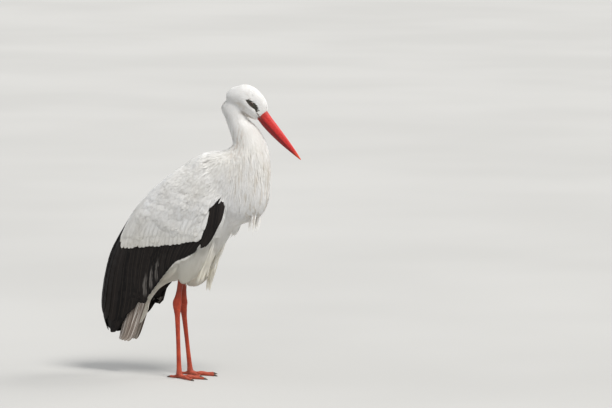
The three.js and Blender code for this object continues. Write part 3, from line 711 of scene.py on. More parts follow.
def plumage(name, paths, faces_out, halves, shape, section, finish, slot, camber, thick, silver=None):
    """Many feathers as one mesh: N paths of K points, with the way each feather's face looks."""
    stops, width = (np.asarray(row) for row in shape)
    count, steps = paths.shape[:2]
    across_share, height = np.array(section, float).T
    along = unit(np.gradient(paths, axis=1))
    across = unit(np.cross(along, faces_out))
    up = np.cross(across, along)
    half = halves[:, None] * width[None]
    rise = (thick * (0.35 + 0.65 * width)[None, :, None] * height
            - camber * half[..., None] * across_share**2)
    points = (paths[:, :, None] + across[:, :, None] * (half[..., None] * across_share)[..., None]
              + up[:, :, None] * rise[..., None])
    sides = len(section)
    ring = np.arange(steps - 1)[:, None] * sides
    k = np.arange(sides)[None]
    after = (k + 1) % sides
    quads = np.stack([ring + k, ring + sides + k, ring + sides + after, ring + after], axis=-1)
    ends = np.concatenate([np.arange(sides), (steps - 1) * sides + np.arange(sides)[::-1]])
    one = np.concatenate([quads.reshape(-1), ends])
    corners = (one[None] + np.arange(count)[:, None] * steps * sides).ravel()
    totals = np.tile(np.concatenate([np.full(quads.size // 4, 4), [sides, sides]]), count)
    mesh = bpy.data.meshes.new(name)
    mesh.vertices.add(points.size // 3)
    mesh.vertices.foreach_set("co", metres(points.reshape(-1, 3)).astype(np.float32).ravel())
    mesh.loops.add(len(corners))
    mesh.loops.foreach_set("vertex_index", corners.astype(np.int32))
    mesh.polygons.add(len(totals))
    starts = np.cumsum(totals) - totals
    mesh.polygons.foreach_set("loop_start", starts.astype(np.int32))
    mesh.polygons.foreach_set("loop_total", totals.astype(np.int32))
    mesh.update(calc_edges=True)
    mesh.polygons.foreach_set("use_smooth", [True] * len(totals))
    mesh.set_sharp_from_angle(angle=SHARP)
    vane = np.stack(np.broadcast_arrays(across_share[None] / 2 + 0.5, stops[:, None]), axis=-1)
    on_vane = vane.reshape(-1, 2)[one % (steps * sides)]
    home = skin_uv[skin_starts[SKIN_GUIDE.nearest(paths[:, 0])[2]]]  # a feather bakes where its root sits
    patches = home[:, None] + (on_vane[None] - 0.5) * BAKE_PATCH
    for key, places in (("vane", np.tile(on_vane, (count, 1))), ("OFBake", patches)):
        mesh.uv_layers.new(name=key).data.foreach_set("uv", places.astype(np.float32).ravel())
    for key, values in (("tone", chance.random(count)), ("silver", silver)):
        if values is not None:
            layer = mesh.attributes.new(key, "FLOAT", "POINT")
            layer.data.foreach_set("value", np.repeat(values, steps * sides).astype(np.float32))
    return dress(bpy.data.objects.new(name, mesh), finish)


def scatter(guide, wanted, spacing_at):
    """Seeded roots on a guide's surface, no closer together than the spacing there."""
    corners = np.array([face[:3] for face in guide.faces])
    triangles = guide.points[corners]
    centre = triangles.mean(axis=1)
    edges = triangles[:, 1:] - triangles[:, :1]
    area = np.linalg.norm(np.cross(edges[:, 0], edges[:, 1]), axis=1)
    weight = area / spacing_at(centre) ** 2
    pick = chance.choice(len(area), wanted, p=weight / weight.sum())
    u, v = chance.random((2, wanted, 1))
    a, b, c = (triangles[pick, k] for k in range(3))
    tries = a + (b - a) * u + (c - a) * v
    spacing = spacing_at(tries)
    taken, kept = {}, []  # the roots kept so far, by the grid cell that each lies in
    cells = np.floor(tries / GRID).astype(int)
    for i in range(wanted):
        gap = spacing[i]
        reach = int(gap // GRID) + 1
        around = itertools.product(*(range(k - reach, k + reach + 1) for k in cells[i].tolist()))
        near = (j for cell in around for j in taken.get(cell, ()))
        if all(((tries[i] - tries[j]) ** 2).sum() > gap * gap for j in near):
            taken.setdefault(tuple(cells[i].tolist()), []).append(i)
            kept.append(i)
    return tries[kept]


def blended(table, points):
    """Values of a table's rows near each point of the side view: x and z, then what is blended."""
    rows = np.asarray(table, float)
    gap = ((points[:, None, [0, 2]] - rows[None, :, :2]) ** 2).sum(axis=2) + 60
    weight = gap**-1.6
    return (weight / weight.sum(axis=1, keepdims=True)) @ rows[:, 2:]


def laid(guide, roots, table, shape):
    """Paths of feathers that start at roots and follow the lie of the coat over a guide."""
    values = blended(table, roots)
    lengths = values[:, 2] * chance.uniform(1.0, 1.4, len(roots))
    stray = chance.normal(0, 0.07, len(roots))
    here, normal, _ = guide.nearest(roots)
    paths, normals = [here], [normal]
    for share in np.diff(shape[0]):
        lie = blended(table, here)[:, :2]
        way = np.stack([lie[:, 0], np.zeros(len(lie)), lie[:, 1]], axis=1)
        way = unit(way - normal * (way * normal).sum(axis=1, keepdims=True))
        way = unit(way + np.cross(normal, way) * stray[:, None])
        here, normal, _ = guide.nearest(here + way * (lengths * share)[:, None])
        paths.append(here)
        normals.append(normal)
    return np.stack(paths, axis=1), unit(np.stack(normals, axis=1)), values


# Lie of the plumage in the side view: x, z, lie x, lie z, length, half width, spacing.
BODY_LIE = [
    [268, 790, -0.55, 0.83, 8, 1.4, 2.8], [252, 822, -0.75, 0.66, 9, 1.5, 2.9],
    [225, 848, -0.95, 0.25, 11, 1.6, 3.0], [190, 852, -0.95, -0.25, 13, 1.8, 3.2],
    [160, 838, -0.6, -0.8, 15, 2.0, 3.2], [142, 815, -0.25, -0.97, 18, 2.2, 3.4],
    [225, 800, -0.85, 0.25, 9, 1.5, 2.9], [195, 812, -0.85, -0.3, 11, 1.7, 3.1],
    [170, 800, -0.4, -0.9, 14, 1.9, 3.2], [240, 768, -0.8, 0.1, 8, 1.4, 2.9],
    [225, 765, -0.6, -0.6, 11, 1.7, 3.1], [205, 775, -0.35, -0.9, 14, 1.9, 3.2],
    [132, 785, 0.0, -1.0, 15, 2.7, 3.6], [170, 765, 0.1, -1.0, 15, 2.8, 3.8],
    [208, 750, 0.3, -0.95, 15, 2.8, 3.8], [145, 745, 0.15, -1.0, 17, 3.0, 4.2],
    [185, 735, 0.25, -0.97, 18, 3.1, 4.3], [228, 735, 0.5, -0.87, 18, 3.1, 4.3],
    [155, 715, 0.2, -1.0, 20, 3.4, 4.8], [200, 700, 0.3, -0.95, 26, 3.6, 5.2],
    [245, 705, 0.3, -0.95, 28, 3.6, 5.2], [160, 685, 0.0, -1.0, 22, 4.0, 5.6],
    [120, 668, -0.8, -0.6, 24, 5.0, 6.4], [200, 660, 0.05, -1.0, 38, 4.2, 6.2],
    [262, 670, 0.12, -0.99, 42, 4.0, 6.0], [160, 620, -0.25, -0.95, 36, 5.0, 7.0],
    [220, 610, 0.0, -1.0, 48, 4.4, 6.6], [270, 600, 0.0, -1.0, 52, 4.2, 6.4],
    [180, 560, -0.15, -0.98, 42, 5.0, 7.0], [230, 540, -0.1, -0.99, 55, 4.4, 6.6],
    [262, 530, -0.15, -0.98, 55, 4.2, 6.4], [170, 500, -0.2, -0.98, 38, 5.0, 7.0],
    [215, 480, -0.25, -0.97, 46, 4.4, 6.8], [150, 450, -0.3, -0.95, 32, 5.0, 7.0],
    [120, 410, -0.35, -0.94, 32, 5.0, 7.0], [95, 360, -0.4, -0.9, 44, 4.6, 6.6],
    [60, 330, -0.35, -0.94, 44, 4.4, 6.4], [60, 380, -0.3, -0.95, 48, 4.8, 6.8],
    [25, 300, -0.3, -0.95, 36, 4.0, 5.8], [0, 330, -0.6, -0.8, 46, 4.8, 6.8],
    [-20, 280, -0.75, -0.65, 34, 4.8, 7.0], [-60, 260, -0.75, -0.65, 36, 5.2, 7.4],
    [-100, 220, -0.7, -0.72, 38, 5.6, 7.8], [-150, 170, -0.5, -0.87, 36, 5.6, 7.8],
    [88, 660, -0.9, -0.35, 26, 6.0, 7.6], [44, 640, -0.85, -0.5, 28, 6.5, 8.2],
    [-60, 560, -0.75, -0.65, 32, 7.0, 9.0], [-150, 400, -0.5, -0.85, 36, 6.5, 8.6],
]
# Lie of the small feathers on the folded wings and shoulders, in the same columns.
WING_LIE = BODY_LIE + [
    [150, 620, -0.55, -0.83, 30, 6.0, 7.6], [100, 640, -0.85, -0.5, 30, 7.0, 8.6],
    [30, 630, -0.85, -0.55, 34, 8.5, 10], [-50, 575, -0.8, -0.6, 38, 9.0, 11],
    [-110, 520, -0.75, -0.66, 42, 9.5, 11.5], [165, 560, -0.45, -0.9, 26, 5.5, 7.2],
    [150, 520, -0.5, -0.85, 26, 6.0, 7.4], [110, 560, -0.7, -0.7, 32, 8.0, 9.6],
    [60, 560, -0.75, -0.65, 36, 9.0, 11], [0, 540, -0.75, -0.65, 40, 10, 12],
    [-60, 500, -0.7, -0.7, 44, 10.5, 12.5], [-120, 460, -0.6, -0.8, 46, 10.5, 12.5],
    [120, 480, -0.6, -0.8, 28, 7.0, 8.6], [80, 470, -0.6, -0.8, 36, 9.0, 10.5],
    [20, 450, -0.55, -0.83, 42, 10, 12], [-50, 430, -0.5, -0.87, 44, 10, 12],
    [-120, 410, -0.45, -0.9, 46, 10, 12], [105, 430, -0.55, -0.83, 30, 7.5, 9.0],
]


def laid_coat(name, guide, roots, table, shape, section=FINE, lift=0.5, camber=0.05, thick=0.22,
              folds=False):
    """A coat of small feathers, each rooted under the skin and lifted at its tip."""
    paths, normals, values = laid(guide, roots, table, shape)
    stops = np.asarray(shape[0])[None]
    deep = depth_of_coat(roots)[:, None]
    lifts = lift * chance.uniform(0.3, 1.3, (len(roots), 1))
    paths = paths + normals * (lifts * stops - (deep + 0.6) * (1 - stops) ** 2.4)[..., None]
    if folds:
        paths = paths + normals * ripples(paths)[..., None]
    halves = values[:, 3] * chance.uniform(0.7, 1.0, len(roots))
    return plumage(name, paths, normals, halves, shape, section, WHITE, "white_plumage", camber, thick)


def ripples(points):
    """Height of the soft folds that the loose feathers of the wings and back lie in."""
    x, y, z = np.moveaxis(points, -1, 0)
    slow = np.sin(x / 23 + 1.4 * np.sin(z / 37 + 0.6) + y / 60)
    slow = slow * np.sin(z / 19 - x / 48 + 1.1 * np.sin(x / 31))
    fast = np.sin(x / 9 + z / 13 + 1.7 * np.sin(z / 21)) * np.sin(z / 8 - x / 15 + 0.7)
    return 2.4 * slow + 0.6 * fast


def rooted(guide, tries, table):
    """Roots for a coat on a guide, from so many tries, as close as the table says."""
    share = 1.0
    return scatter(guide, int(tries * share), lambda points: blended(table, points)[:, 4] * CLOSENESS)


CLOSENESS = 0.66  # the coat's roots stand this share of the tables' spacing apart
BREAST_LOW, NECK_LOW, HEAD_LOW = 440, 690, 745  # heights where one coat gives way to the next
BEHIND_HEAD, UNDER_HEAD = -125, -52  # the same at the nape and throat, in the head's own measure
LAP = 10  # how far the neck's coat lies under the breast's

# Head, neck and underparts. No feathers grow under the wings, on bare skin or in the bill.
roots = rooted(FORM, 200000, BODY_LIE)
place, normal, _ = FORM.nearest(roots)
hidden = np.array([COVERED.tree.ray_cast(p, n, 90)[0] is not None
                   for p, n in zip((place + normal * 2.5).tolist(), normal.tolist())])
on_shoulders = (roots[:, 2] > BREAST_LOW) & (roots[:, 2] < NECK_LOW + LAP)
roots = roots[~hidden & ~on_shoulders]
head_view = into_head(roots)
bared = [bare_patch(head_view[:, 0] - ahead, head_view[:, 2]) > 0.4 for ahead in (1.8, 5.5)]
in_patch = (bared[0] | bared[1]) & (head_view[:, 0] < 0) & (roots[:, 2] > HEAD_LOW - 5)
in_bill = (head_view[:, 0] > 1) & (roots[:, 2] > HEAD_LOW + LAP)
roots, head_view = roots[~in_patch & ~in_bill], head_view[~in_patch & ~in_bill]
on_head = (head_view[:, 0] > BEHIND_HEAD) & (roots[:, 2] > HEAD_LOW) & (head_view[:, 2] > UNDER_HEAD)
on_neck = ~on_head & (roots[:, 2] > NECK_LOW)
laid_coat("coat_head", FORM, roots[on_head], BODY_LIE, LANCE, lift=0.2, camber=0.3, thick=0.12)
laid_coat("coat_neck", FORM, roots[on_neck], BODY_LIE, LANCE)
laid_coat("coat_underparts", SOFT, roots[~on_head & ~on_neck], BODY_LIE, LANCE, lift=0.7)

# The breast, the shoulders and the white part of the wings, whose feathers end inside it too.
SHOULDER = 138  # ahead of this the wing's feathers are as long and narrow as the breast's
roots = rooted(OUTER, 110000, WING_LIE)
x, z = roots[:, 0], roots[:, 2]
by_wing = np.linalg.norm(CLOAK.nearest(roots)[0] - roots, axis=1) < 9
lie_x, lie_z, length = blended(WING_LIE, roots)[:, :3].T * [[1], [1], [1.15]]
on_shield = (by_wing & inside(SHIELD, x, z) & ~in_wrist(roots, 4)
             & inside(SHIELD, x + lie_x * length, z + lie_z * length - 5))
on_breast = (~on_shield & (z > BREAST_LOW) & (z < NECK_LOW + 14) & (x > 100)
             & ~(by_wing & in_wrist(roots, 6)))
long_feathered = on_breast | (on_shield & (x > SHOULDER))
laid_coat("coat_breast", OUTER, roots[long_feathered], WING_LIE, LANCE, lift=1.0)
for side, sign in SIDES.items():
    mine = roots[on_shield & ~long_feathered & (roots[:, 1] * sign > 0)]
    made = laid_coat(f"coat_wing_{side}", OUTER, mine, WING_LIE, ROUND, BROAD, lift=0.55, camber=0.03,
                     thick=0.2, folds=True)
    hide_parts(f"wing_coverts_{side}")


# ---------------------------------------------------------------- long wing feathers
def along_line(line, shares):
    """Points at even shares of a line of side-view points."""
    line = np.asarray(line, float)
    run = np.concatenate([[0], np.cumsum(np.linalg.norm(np.diff(line, axis=0), axis=1))])
    return np.stack([np.interp(np.asarray(shares) * run[-1], run, line[:, k]) for k in range(2)], axis=1)


def wing_row(count, roots, tips, tip_jitter=0.0, tuck=0.0):
    """Wing addresses of the roots and the tips of a row of feathers, between two lines."""
    shares = (np.arange(count) + 0.5) / count
    return [np.array([wing_address(*p) for p in
                      along_line(line, shares) + chance.normal(0, jitter, (count, 2)) - [tuck, 0]])
            for line, jitter in ((roots, ROOT_JITTER), (tips, tip_jitter))]


def wing_vanes(name, rows, side, finish, slot, shape=LONG, camber=0.06, thick=0.9):
    """Long wing feathers. Each row: its wing_row, half width, bow, lift of root and tip, silver."""
    sign = SIDES[side]
    stops = np.asarray(shape[0])
    paths, normals, halves, silvers = [], [], [], []
    for (starts, ends), half, bow, low, high, silver in rows:
        for i, (start, end) in enumerate(zip(starts, ends)):
            address = start + (end - start) * stops[:, None]
            address[:, 1] = np.clip(address[:, 1] + bow * np.sin(np.pi * stops), 0.004, 1.3)
            normal = wing_faces_out(address[:, 0], address[:, 1], sign)
            lift = low + (high - low) * stops + 0.9 * i / len(starts)
            paths.append(wing_places(address[:, 0], address[:, 1], sign) + normal * lift[:, None])
            normals.append(normal)
            halves.append(half)
            in_row = np.interp(i / (len(starts) - 1), [0.46, 0.56, 0.92, 1.0], [0, 1, 1, 0])
            silvers.append(silver * (i % 2) * in_row * chance.uniform(0.4, 1))
    return plumage(name, np.array(paths), np.array(normals), np.array(halves), shape, BROAD, finish, slot,
                   camber, thick, np.array(silvers))


ROOT_JITTER = 1.5  # how far a long feather's root strays from its line
# Lines of the side view that rows of feathers start from and end on.
SHIELD_EDGE = [(99, 416), (40, 401), (-20, 390), (-90, 383), (-165, 372), (-178, 376)]
SHIELD_REAR = [(-182, 384), (-180, 404), (-166, 440), (-152, 466), (-142, 482)]
MEDIAN_TIPS = [(110, 440), (40, 424), (-30, 414), (-130, 405), (-160, 410)]
PRIMARY_TIPS = [(-186, 156), (-210, 134), (-232, 117), (-246, 124), (-256, 146)]
TERTIAL_TIPS = [(-128, 228), (-160, 186), (-210, 150), (-246, 160), (-262, 200)]
WRIST_TIPS = [(99, 404), (100, 388), (113, 394), (136, 424), (155, 462)]
BAND_TIPS = {"right": [(58, 370), (2, 342), (-66, 268), (-116, 212), (-134, 214)],
             "left": [(34, 366), (-10, 338), (-78, 264), (-126, 200), (-148, 164)]}
for side in SIDES:
    greater = wing_row(21, [(138, 482), (70, 466), (-10, 452), (-90, 446), (-148, 452)], SHIELD_EDGE, 1.5)
    median = wing_row(19, [(140, 500), (70, 496), (-20, 486), (-110, 482)], MEDIAN_TIPS, 3)
    rear = wing_row(8, [(-100, 470), (-104, 500), (-98, 530)], SHIELD_REAR, 1)
    coverts = [(greater, 10.5, 0, -2.4, 1.0, 0), (median, 10.5, 0, -2.0, 0.6, 0),
               (rear, 11, 0, -1.4, 1.0, 0)]
    wing_vanes(f"greater_coverts_{side}", coverts, side, WHITE, "white_plumage", camber=0.015, thick=0.3)
    primaries = wing_row(9, [(-150, 400), (-215, 370)], PRIMARY_TIPS)
    secondaries = wing_row(16, [(118, 466), (50, 450), (-20, 425), (-70, 400)], BAND_TIPS[side])
    tertials = wing_row(10, [(-50, 430), (-110, 440), (-150, 440), (-160, 470)], TERTIAL_TIPS)
    ridge = wing_row(6, [(-140, 478), (-134, 486), (-130, 492)], [(-262, 214), (-258, 262), (-244, 320)])
    flight = [(primaries, 12, 0, -3.0, -0.6, 0), (secondaries, 14, 0, -2.5, 0.4, 1),
              (tertials, 17, 0, -1.2, 1.2, 0), (ridge, 15, 0, -0.6, 0.8, 0)]
    made = wing_vanes(f"flight_feathers_{side}_vanes", flight, side, BLACK, "black_plumage", camber=0.025,
                      thick=0.4)
    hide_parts(f"flight_feathers_{side}")
    alula = wing_row(11, [(138, 556), (154, 576), (164, 570)], WRIST_TIPS, tuck=WRIST_TUCK[side])
    made = wing_vanes(f"wrist_feathers_{side}_vanes", [(alula, 8.5, 0.03, -4.2, 2.4, 0)], side, BLACK,
                      "black_plumage")
    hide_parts(f"wrist_feathers_{side}")

# ---------------------------------------------------------------- tail
# Stiff feathers side by side on a half tube, open below and in front.
TAIL_ROOT, TAIL_TIP = np.array([-124.0, 0, 268]), np.array([-182.0, 0, 99])
TAIL_FEATHERS = 12
TAIL_SPREAD = math.radians(112)
along = unit(TAIL_TIP - TAIL_ROOT)
crown = np.array([along[2], 0, -along[0]])
stops = np.asarray(LONG[0])[:, None]
paths, normals = [], []
for turn in TAIL_SPREAD * np.linspace(-1, 1, TAIL_FEATHERS):
    upward, sideways = math.cos(turn), np.array([0, math.sin(turn), 0])
    start = TAIL_ROOT + crown * 40 * upward + 20 * sideways
    end = TAIL_TIP + crown * 27 * upward + 28 * sideways + along * (6 * upward + 1.5)
    out = crown * upward + sideways
    paths.append(start + (end - start) * stops + out * (1.2 * upward - 0.8 * stops))
    normals.append(np.repeat(out[None], len(stops), axis=0))
halves = np.full(TAIL_FEATHERS, 14.0)
tail = plumage("tail_feathers", np.array(paths), np.array(normals), halves, LONG, BROAD, TAIL,
               "white_plumage", camber=0.08, thick=1.0)
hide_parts("tail")

# ---------------------------------------------------------------- loose plumes
# Each plume is a row: x, y, z of its root, then of its tip.
FRINGE = [  # round the breast, one side
    [254, 0, 540, 233, 0, 441], [250, 14, 538, 229, 13, 443], [245, 27, 534, 221, 26, 445],
    [226, 44, 526, 203, 43, 447], [196, 58, 516, 181, 55, 446], [176, 64, 510, 168, 60, 450],
]
BREAST_MIDDLE = [120.0, 0, 500]
THIGH_PLUMES = {"left": ([72, 42, 352, 57, 44, 250], 16), "right": ([40, -42, 330, 24, -44, 279], 12)}
BELLY_PLUMES = [  # x, z at the front and back of the roots, then of the tips
    ([120, 410], [96, 372], [96, 342], [72, 312]), ([98, 362], [62, 330], [76, 292], [40, 284]),
]
fringe = []
for sign, reach in ((-1, 2.2), (1, 5)):
    for lap in range(4):
        for place in np.arange(0, reach, 0.2):
            row = smooth(FRINGE, place + chance.normal(0, 0.08))
            fringe.append(row * [1, sign, 1, 1, sign, 1] + [3 - lap * 3, 0, 22 - lap * 9, 0, 0, lap * 3.5])
fringe = np.array(fringe)
fringe[:, 3:] += chance.normal(0, [4.0, 3.0, 9.0], (len(fringe), 3))
nape = [out_of_head([[-102, 0, -54], [-97, 0, -77]] + place * [[3, 7, 3], [2, 4, 3]]).ravel()
        for place in chance.normal(0, 1, (16, 3))]
thigh = [row + np.hstack([chance.normal(0, spread, (count, 3)) for spread in ([6, 9, 8], [5, 4, 5])])
         for row, count in THIGH_PLUMES.values()]
belly = []
for corners in BELLY_PLUMES:
    front, back, tip_front, tip_back = (np.array(corner) for corner in corners)
    for down, wide in chance.random((46, 2)):
        root, tip = front + (back - front) * down, tip_front + (tip_back - tip_front) * down
        y = (wide - 0.5) * 84
        belly.append([root[0], y, root[1], tip[0], y * 0.95, tip[1] + chance.normal(0, 7)])
chin, throat = [], []
for back, wide in chance.random((56, 2)):  # feathers of the chin, lying back over the throat
    sign = -1 if wide < 0.5 else 1
    root = np.array([-10 - 11 * back, sign + (wide - 0.5) * 14, -24 - 4 * back])
    chin.append(out_of_head([root, root + [-17, sign, -5]]).ravel())
    throat.append(out_of_head([-25, 0, -12]))
rows = np.vstack([fringe, nape, *thigh, belly, chin])
middles = np.vstack([np.tile(BREAST_MIDDLE, (len(rows) - len(chin), 1)), throat])
roots, tips = rows[:, :3], rows[:, 3:]
stops = np.asarray(LANCE[0])[None, :, None]
outward = unit(roots - middles)[:, None]
reach = np.linalg.norm(tips - roots, axis=1)[:, None, None]
bowed = outward * np.sin(np.pi * stops) * np.minimum(3, reach * 0.04)
paths = roots[:, None] + (tips - roots)[:, None] * stops + bowed
normals = np.repeat(outward, len(LANCE[0]), axis=1)
halves = chance.uniform(2.0, 3.4, len(rows)) * np.clip(reach[:, 0, 0] / 40, 0.6, 1)
plumage("coat_plumes", paths, normals, halves, LANCE, FINE, WHITE, "white_plumage", camber=0.1, thick=0.4)

# ---------------------------------------------------------------- bill
NOSTRIL = (17, 5.5)  # how far along the bill, and how high
bill_x = np.linspace(-8, BILL_LENGTH, 177)
bill_rows = smooth(BILL, np.interp(bill_x, np.array(BILL, float)[:, 0], np.arange(len(BILL))))
x, culmen, gape, under, half = bill_rows.T[:, :, None]
angle = np.linspace(0, np.pi, 40)[None]
for part, depth in (("upper", culmen - gape), ("lower", under - gape)):
    y = half * np.cos(angle)
    z = gape + np.sign(depth) * 0.18 + depth * np.sin(angle) ** 0.85
    tread = (z - gape) / np.where(np.abs(depth) < 0.01, 0.01, depth)
    edge_roll = 0.35 * np.exp(-(tread / 0.07) ** 2) * (x > 2)
    dent = -edge_roll
    if part == "upper":
        slit = -(((x - NOSTRIL[0]) / 9) ** 4) - ((z - NOSTRIL[1] + x * 0.02) / 1.3) ** 2
        dent = dent + np.exp(slit) * 1.5
    rings = np.stack(np.broadcast_arrays(x, y * (1 - dent / np.maximum(half, 2)), z), axis=-1)
    shell = piece(f"bill_{part}_shell", *closed_tube(out_of_head(rings)), KERATIN, "bill")
    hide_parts(f"bill_{part}")

# ---------------------------------------------------------------- eyes, lids and gape folds
# The lids' folds: half width, half height, how far out they lie, thickness.
LIDS = [(6.6, 5.3, 4.9, 0.85), (8.0, 6.6, 3.9, 0.8), (9.4, 7.8, 2.9, 0.6)]
GAPE_FOLD = [
    [-15, 17.9, -1.2, 0.6, 1], [-9, 16.6, -3.2, 1.2, 1], [-2, 14.6, -5.4, 1.5, 1], [4, 12.6, -6.8, 0.6, 1],
]


def lid(centre, sign, wide, tall, out, thick):
    """One fold of skin round the eye, drawn out a little to its corners."""
    ring = np.linspace(0, 2 * np.pi, 56, endpoint=False)[:, None]
    tube = np.linspace(0, 2 * np.pi, 10, endpoint=False)[None]
    corner = 1 + 0.10 * np.cos(ring) ** 8
    spread = 1 + thick * np.cos(tube) / 7
    x = centre[0] + wide * corner * np.cos(ring) * spread
    z = centre[2] + tall * np.sin(ring) * spread
    y = sign * (abs(centre[1]) + out + thick * np.sin(tube))
    rings = np.stack(np.broadcast_arrays(x, y, z), axis=-1)
    around, sides = rings.shape[:2]
    step = np.arange(around)[:, None] * sides
    a = (step + np.arange(sides)[None]).ravel()
    b = (step + (np.arange(sides)[None] + 1) % sides).ravel()
    size = around * sides
    faces = np.stack([a, b, (b + sides) % size, (a + sides) % size], axis=1).tolist()
    return out_of_head(rings.reshape(-1, 3)), faces


for side, sign in SIDES.items():
    centre = EYE * [1, sign, 1]
    axis = unit(np.array([0.10, sign, 0.06]))  # where the eye looks
    across = unit(np.cross(axis, [0, 0, 1]))
    ring = np.linspace(0, 2 * np.pi, 40, endpoint=False)[:, None]
    circle = across * np.cos(ring) + np.cross(axis, across) * np.sin(ring)
    rings = [centre + EYE_RADIUS * (1 + 0.06 * math.exp(-((angle / 0.55) ** 2)))
             * (axis * math.cos(angle) + circle * math.sin(angle))
             for angle in np.linspace(0.02, math.pi - 0.02, 24)]
    glass = eye_glass(metres(out_of_head(centre)), axis @ HEAD_AXES)
    ball = piece(f"eyeball_{side}", *closed_tube(out_of_head(np.array(rings))), glass, "eye")
    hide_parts(f"eye_{side}")
    piece(f"lids_{side}", *joined([lid(centre, sign, *fold) for fold in LIDS]), LID, "eye")
    fold_rings = limb_rings(np.array(GAPE_FOLD) * [1, sign, 1, 1, 1], 16, 8)
    piece(f"gape_fold_{side}", *closed_tube(out_of_head(fold_rings)), GAPE, "bill")


# ---------------------------------------------------------------- legs and feet
def between(a, b, share):
    """The point a share of the way from a to b."""
    return (np.array(a, float) + (np.array(b, float) - np.array(a, float)) * share).tolist()


def toe_limb(foot, way, length, joints):
    """A toe: thicker and thinner by turns, from the foot to its claw."""
    rows = [[foot[0], foot[1], 9, 7.6, 1]]
    for j in range(joints * 2):
        t = (j + 1) / (joints * 2)
        r = (6.4 - 2.4 * t) * (1.12 if j % 2 else 0.9)
        rows.append([foot[0] + way[0] * length * t, foot[1] + way[1] * length * t, r * 0.86, r, 1])
    return closed_tube(limb_rings(rows, 20, 6))


def leg_parts(side):
    """Shank, ankle and shin as one limb, then toes and webs."""
    knee, ankle, foot = (LEGS[side][key] for key in ("knee", "ankle", "foot"))
    top = [ankle[0] - 1, ankle[1], ankle[2] - 5]
    rows = [[*between(ankle, knee, t), r, flat] for t, r, flat in
            ((0.6, 9.5, 1), (0.45, 8.8, 1), (0.28, 8.2, 1), (0.13, 10, 0.9))]
    rows.append([ankle[0], ankle[1], ankle[2] + 3, 13, 0.84])
    rows.append([ankle[0] - 1, ankle[1], ankle[2] - 7, 12.6, 0.86])
    rows += [[*between(top, foot, t), r, flat] for t, r, flat in
             ((0.1, 10.0, 0.88), (0.2, 7.8, 0.88), (0.55, 6.4, 0.9), (0.88, 7.2, 0.96), (1.0, 9, 1.05))]
    parts = [closed_tube(limb_rings(rows, 28, 12))]
    ways = {}
    for toe, (length, turn, joints) in TOES.items():
        angle = math.radians(turn) * -SIDES[side]
        ways[toe] = np.array([math.cos(angle), math.sin(angle)])
        parts.append(toe_limb(foot, ways[toe], length, joints))
    for a, b, reach in (("outer", "middle", 21), ("middle", "inner", 12)):
        web = [np.zeros(2), ways[a] * reach, (ways[a] + ways[b]) * reach * 0.42, ways[b] * reach]
        rings = np.array([[[foot[0] + p[0], foot[1] + p[1], z] for p in web] for z in WEB])
        parts.append(closed_tube(rings))
    return parts


WEB = (1.2, 4.6)  # the web's underside and top
SHIN_SCUTE, TOE_SCUTE = 5.2, 4.0  # the length of a scute
for side in SIDES:
    points, normals, faces = melted(leg_parts(side), 1.3, 5)
    ankle, foot = np.array(LEGS[side]["ankle"], float), np.array(LEGS[side]["foot"], float)
    z = points[:, 2]
    share = np.clip((z - foot[2]) / (ankle[2] - foot[2]), 0, 1)[:, None]
    axis = foot + (ankle - foot) * share
    front = unit((points - axis) * [1, 1, 0])[:, 0]
    on_shin = ((z > 22) & (z < ankle[2] - 18)).astype(float)
    scute = 0.45 * np.abs(np.sin(np.pi * z / SHIN_SCUTE)) ** 0.5 * np.clip(front * 1.6, 0, 1) * on_shin
    out = np.hypot(points[:, 0] - foot[0], points[:, 1] - foot[1])
    on_toe = ((z > 4.5) & (z < 22) & (out > 13)).astype(float)
    scute = scute + 0.4 * np.abs(np.sin(np.pi * out / TOE_SCUTE)) ** 0.5 * on_toe
    points = points + normals * (scute - 0.25 * (on_shin + on_toe))[:, None]
    points[:, 2] = np.maximum(points[:, 2], DRAWN_AT[2])
    leg = piece(f"leg_{side}", points, faces, SCALES, "leg_skin")
    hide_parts(f"shank_{side}", f"tarsus_{side}", f"foot_{side}")

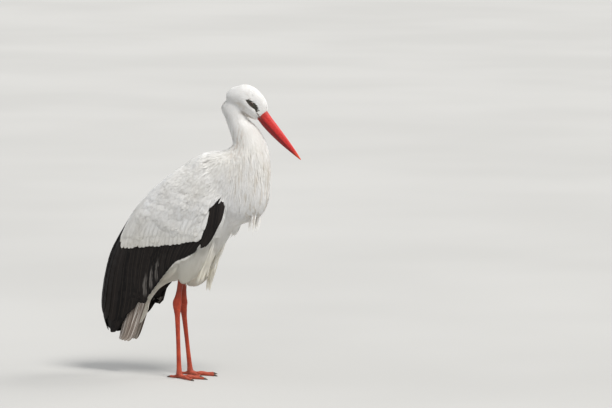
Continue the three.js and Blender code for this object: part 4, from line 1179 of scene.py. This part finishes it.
for name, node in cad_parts.items():
    if name.startswith("claw"):
        node.data.materials.clear()
        node.data.materials.append(HORN)
        node.data.polygons.foreach_set("use_smooth", [True] * len(node.data.polygons))

# ---------------------------------------------------------------- floor, light and camera
scene = bpy.context.scene
scene.view_settings.view_transform = "Standard"
FLOOR = 70.0
floor = bpy.data.objects.new("floor", bpy.data.meshes.new("floor"))
edge = [(-FLOOR, -FLOOR, 0), (FLOOR, -FLOOR, 0), (FLOOR, FLOOR, 0), (-FLOOR, FLOOR, 0)]
floor.data.from_pydata(edge, [], [(0, 1, 2, 3)])
floor.data.materials.append(pale_floor())
scene.collection.objects.link(floor)

world = bpy.data.worlds.new("studio")
scene.world = world
world.use_nodes = True
world.node_tree.nodes["Background"].inputs["Color"].default_value = (0.95, 0.97, 1.0, 1)
world.node_tree.nodes["Background"].inputs["Strength"].default_value = 0.68


def toward(azimuth, elevation):
    """The way from the bird to a point in degrees round from its right side and above it."""
    a, e = math.radians(azimuth), math.radians(elevation)
    return Vector((math.sin(a) * math.cos(e), -math.cos(a) * math.cos(e), math.sin(e)))


def aimed(name, data, way):
    """A lamp or camera that looks back along a way."""
    made = bpy.data.objects.new(name, data)
    scene.collection.objects.link(made)
    made.rotation_euler = way.to_track_quat("Z", "Y").to_euler()
    return made


def sun(name, azimuth, elevation, strength, softness, colour):
    """A soft lamp from one side, its softness in degrees."""
    lamp = bpy.data.lights.new(name, "SUN")
    lamp.energy = strength
    lamp.angle = math.radians(softness)
    lamp.color = colour
    aimed(name, lamp, toward(azimuth, elevation))


sun("key", 66, 56, 3.15, 20, (1.0, 0.965, 0.92))
sun("rim", 135, 42, 1.1, 30, (1.0, 0.98, 0.95))

VIEWED_FROM = toward(26, 6)
DISTANCE, VIEW_WIDTH, SENSOR = 14.0, 1.7748, 36
camera = aimed("camera", bpy.data.cameras.new("camera"), VIEWED_FROM)
camera.location = Vector((0.2426, 0.2017, 0.4966)) + VIEWED_FROM * DISTANCE
camera.data.sensor_width = SENSOR
camera.data.lens = SENSOR * DISTANCE / VIEW_WIDTH
camera.data.clip_end = 300
scene.camera = camera
